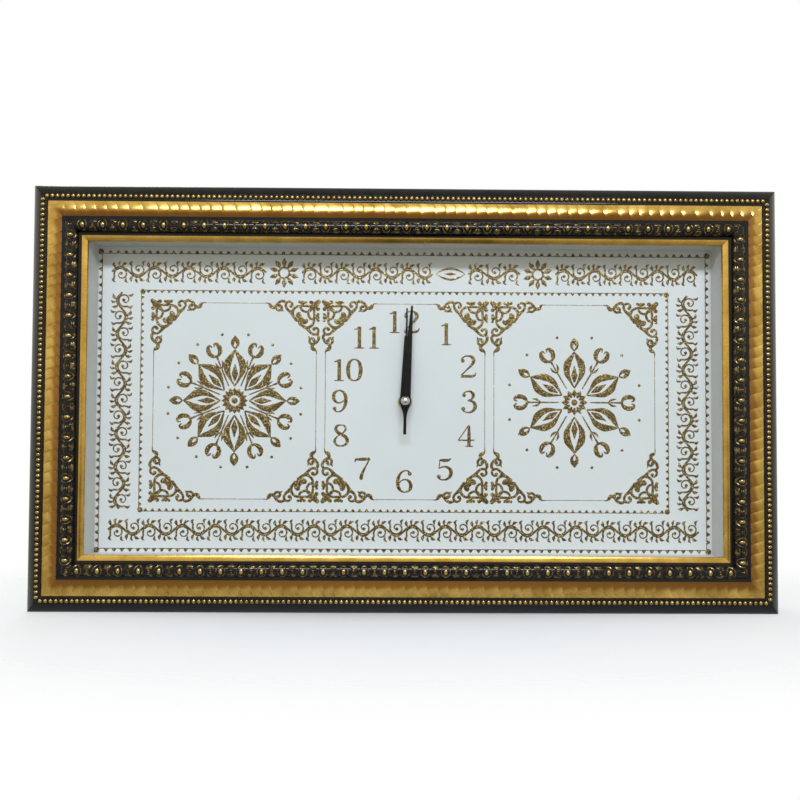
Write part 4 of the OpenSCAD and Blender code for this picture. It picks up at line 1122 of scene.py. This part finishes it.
# %% Moulded plastics and rubber
def moulded(name, dark, light, rough, grain=1800, depth=0.02):
    plastic = Finish(name, Roughness=rough)
    drift = plastic.noise(120, 4)
    return plastic.wear(plastic.ramp(drift, (0.3, dark), (0.7, light)),
                        plastic.math("MULTIPLY_ADD", drift, 0.16, rough - 0.08),
                        plastic.noise(grain, 2), depth, 0.4)


dress(moulded("case_plastic", (0.012, 0.012, 0.013), (0.026, 0.026, 0.028), 0.48), "movement_case")
dress(moulded("cover_plastic", (0.020, 0.020, 0.022), (0.034, 0.034, 0.036), 0.4), "movement_cover")
dress(moulded("knob_plastic", (0.05, 0.05, 0.055), (0.08, 0.08, 0.085), 0.35), "setting_knob")
dress(moulded("plate_plastic", (0.66, 0.63, 0.54), (0.76, 0.73, 0.65), 0.45),
      "middle_plate", "gear_bridge")
dress(moulded("wheel_plastic", (0.74, 0.72, 0.66), (0.86, 0.85, 0.80), 0.38),
      "intermediate_wheel", "third_wheel", "second_wheel", "centre_wheel", "motion_wheel",
      "hour_wheel", "setting_arbor")
dress(moulded("rotor_magnet", (0.08, 0.08, 0.085), (0.20, 0.20, 0.21), 0.4, 2600, 0.04), "rotor")
dress(moulded("gasket_rubber", (0.010, 0.010, 0.010), (0.022, 0.022, 0.022), 0.8, 900, 0.05),
      "panel_gasket")


# %% Plated steel, iron and wire
def plated(name, deep, bright, rough, spangle, stretch=(1, 1, 1)):
    steel = Finish(name, Metallic=1.0, Roughness=rough)
    flowers = steel.add("ShaderNodeTexVoronoi", Vector=steel.stretched(*stretch), Scale=spangle)
    tone = steel.add("ShaderNodeSeparateXYZ", Vector=flowers.outputs["Color"]).outputs["X"]
    scuff = steel.noise(700, 4, steel.stretched(*stretch))
    mixed = steel.math("MULTIPLY_ADD", tone, 0.4, steel.math("MULTIPLY", scuff, 0.6))
    return steel.wear(steel.ramp(mixed, (0.25, deep), (0.75, bright)),
                      steel.math("MULTIPLY_ADD", tone, 0.12, rough - 0.06), scuff, 0.02, 0.4)


dress(plated("zinc_plate", (0.50, 0.51, 0.52), (0.68, 0.69, 0.69), 0.34, 420.0), "hanger_plate")
dress(plated("yellow_zinc", (0.34, 0.25, 0.09), (0.56, 0.44, 0.18), 0.3, 900.0), "hanger_screws")
dress(plated("spring_steel", (0.40, 0.41, 0.42), (0.66, 0.67, 0.68), 0.3, 900.0, (1, 0.2, 0.3)),
      "retaining_points", "corner_wedges", "contact_plus", "contact_minus", "crystal_can")
dress(plated("soft_iron", (0.30, 0.30, 0.31), (0.52, 0.52, 0.53), 0.38, 1200.0, (0.1, 1, 1)),
      "stator", "coil_core")

wire = Finish("coil_wire", Metallic=0.9, Roughness=0.3)
turns_and_groove_shade = wire.add("ShaderNodeTexWave", {"bands_direction": "X"}, Vector=wire.place,
                 Scale=1900.0, Distortion=0.4).outputs["Fac"]
# The wave's troughs are dark brown: painted shade in the grooves between the turns, where the bump is
# low.
dress(wire.wear(wire.ramp(turns_and_groove_shade, (0.1, (0.16, 0.05, 0.02)), (0.7, (0.72, 0.32, 0.13))), None,
                turns_and_groove_shade, 0.08, 0.8), "drive_coil")

# %% Circuit board and battery
mask = Finish("solder_mask", Roughness=0.3)
tracks = mask.add("ShaderNodeTexBrick", {"offset": 0.5}, Vector=mask.place, Scale=120.0,
                  Color1=(0.012, 0.10, 0.04, 1), Color2=(0.016, 0.13, 0.05, 1),
                  Mortar=(0.03, 0.20, 0.08, 1))
dress(mask.wear(tracks.outputs["Color"], None, tracks.outputs["Fac"], 0.03, 0.5), "circuit_board")

cell = Finish("battery_sleeve", Roughness=0.3)
cell_low, cell_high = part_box("battery")
along = cell.add("ShaderNodeMapRange", Value=cell.axis("X"), From_Min=cell_low.x,
                 From_Max=cell_high.x).outputs["Result"]
scuffs = cell.noise(500, 4, cell.stretched(0.2, 1, 1))
bands_at = cell.ramp(along, (0.0, (0.55, 0.55, 0.56)), (0.045, (0.010, 0.045, 0.030)),
                     (0.70, (0.55, 0.27, 0.09)), (0.945, (0.60, 0.60, 0.61)))
bands_at.node.color_ramp.interpolation = "CONSTANT"
ends = cell.ramp(along, (0.0, 1.0), (0.045, 0.0), (0.70, 0.6), (0.945, 1.0))
ends.node.color_ramp.interpolation = "CONSTANT"
cell.put(cell.shader.inputs["Metallic"], ends)
dress(cell.wear(bands_at, cell.math("MULTIPLY_ADD", scuffs, 0.25, 0.2), scuffs, 0.01, 0.4), "battery")

# %% [markdown]
# ## Stage and light
# The floor is pale and fades out, so that it has no edge. The camera sees a white surround,
# while the clock is lit by a room whose brightness changes with height, with one dark shape
# in front, because gold and lacquer look flat when all that they mirror is white. Mirrored
# and transmitted rays see that room a little brighter. One wide lamp stands high in front
# and a weaker one behind.

# %% Floor
floor_z = post_low.z
bm = bmesh.new()
bmesh.ops.create_circle(bm, cap_ends=True, segments=64, radius=4)
bmesh.ops.translate(bm, verts=bm.verts, vec=(0, 0, floor_z))
mesh = bpy.data.meshes.new("floor")
bm.to_mesh(mesh)
bm.free()
ground = Finish("pale_floor", Roughness=0.9, Base_Color=(0.86, 0.87, 0.88, 1))
far = ground.add("ShaderNodeVectorMath", {"operation": "LENGTH"}, Vector=ground.stretched(1, 2.5, 0))
fade = ground.ramp(far.outputs["Value"], (0.12, 0.0), (0.60, 1.0))
ground.either(fade, ground.shader, ground.add("ShaderNodeBsdfTransparent"))
mesh.materials.append(ground.material)
floor = bpy.data.objects.new("floor", mesh)
scene.collection.objects.link(floor)
print("floor at", round(floor_z, 4))

# %% World and lamps
SHADES = ((0.0, 0.14), (0.36, 0.36), (0.50, 0.50), (0.60, 0.70), (0.72, 0.60), (0.95, 0.30))
TINT = (1, 0.985, 0.86)
DARK_AT, DARK_SQUEEZE = (0.06, -0.92, -0.38), (6, 0.6, 2)
BRIGHTER = 0.43


class Surround(Finish):
    """A world wired with the same helpers, where a place is the way that a ray goes."""

    def __init__(self, name):
        self.world = bpy.data.worlds.new(name)
        self.world.use_nodes = True
        self.tree = self.world.node_tree
        self.tree.nodes.clear()
        self.output = self.add("ShaderNodeOutputWorld")
        self.place = self.add("ShaderNodeTexCoord").outputs["Generated"]


studio = Surround("studio")
scene.world = studio.world
height = studio.add("ShaderNodeMapRange", Value=studio.axis("Z"), From_Min=-1).outputs["Result"]
room = studio.ramp(height, *((level, tuple(shade * tint for tint in TINT)) for level, shade in SHADES))
dark = studio.add("ShaderNodeMapping", Vector=studio.place, Scale=DARK_SQUEEZE,
                  Location=[-place * squeeze for place, squeeze in zip(DARK_AT, DARK_SQUEEZE)])
aside = studio.add("ShaderNodeVectorMath", {"operation": "LENGTH"}, Vector=dark.outputs[0])
dimmed = studio.add("ShaderNodeMapRange", Value=aside.outputs["Value"], From_Min=0.6,
                    From_Max=1.1, To_Min=0.08).outputs["Result"]
rays = studio.add("ShaderNodeLightPath").outputs
mirrored = studio.math("MAXIMUM", rays["Is Glossy Ray"], rays["Is Transmission Ray"])
strength = studio.math("MULTIPLY", dimmed, studio.math("MULTIPLY_ADD", mirrored, BRIGHTER, 1))
lit = studio.add("ShaderNodeBackground", Color=room, Strength=strength)
blank = studio.add("ShaderNodeBackground", Color=(1, 1, 1, 1))
studio.either(rays["Is Camera Ray"], lit, blank)


def lamp(name, place, target, width, height, power, colour=(1, 1, 1)):
    data = bpy.data.lights.new(name, "AREA")
    data.shape = "RECTANGLE"
    data.size = width
    data.size_y = height
    data.energy = power
    data.color = colour
    made = bpy.data.objects.new(name, data)
    made.location = place
    aim = Vector(target) - Vector(place)
    made.rotation_euler = aim.to_track_quat("-Z", "Y").to_euler()
    scene.collection.objects.link(made)


middle = Vector((0, 0, Z_MID * MM))
lamp("key", (0.05, -1.70, 1.25), middle, 1.6, 0.3, 41, (0.80, 0.88, 1.0))
lamp("rear", (-0.6, 1.4, 0.9), middle, 1.2, 0.8, 10)
print("two lamps")
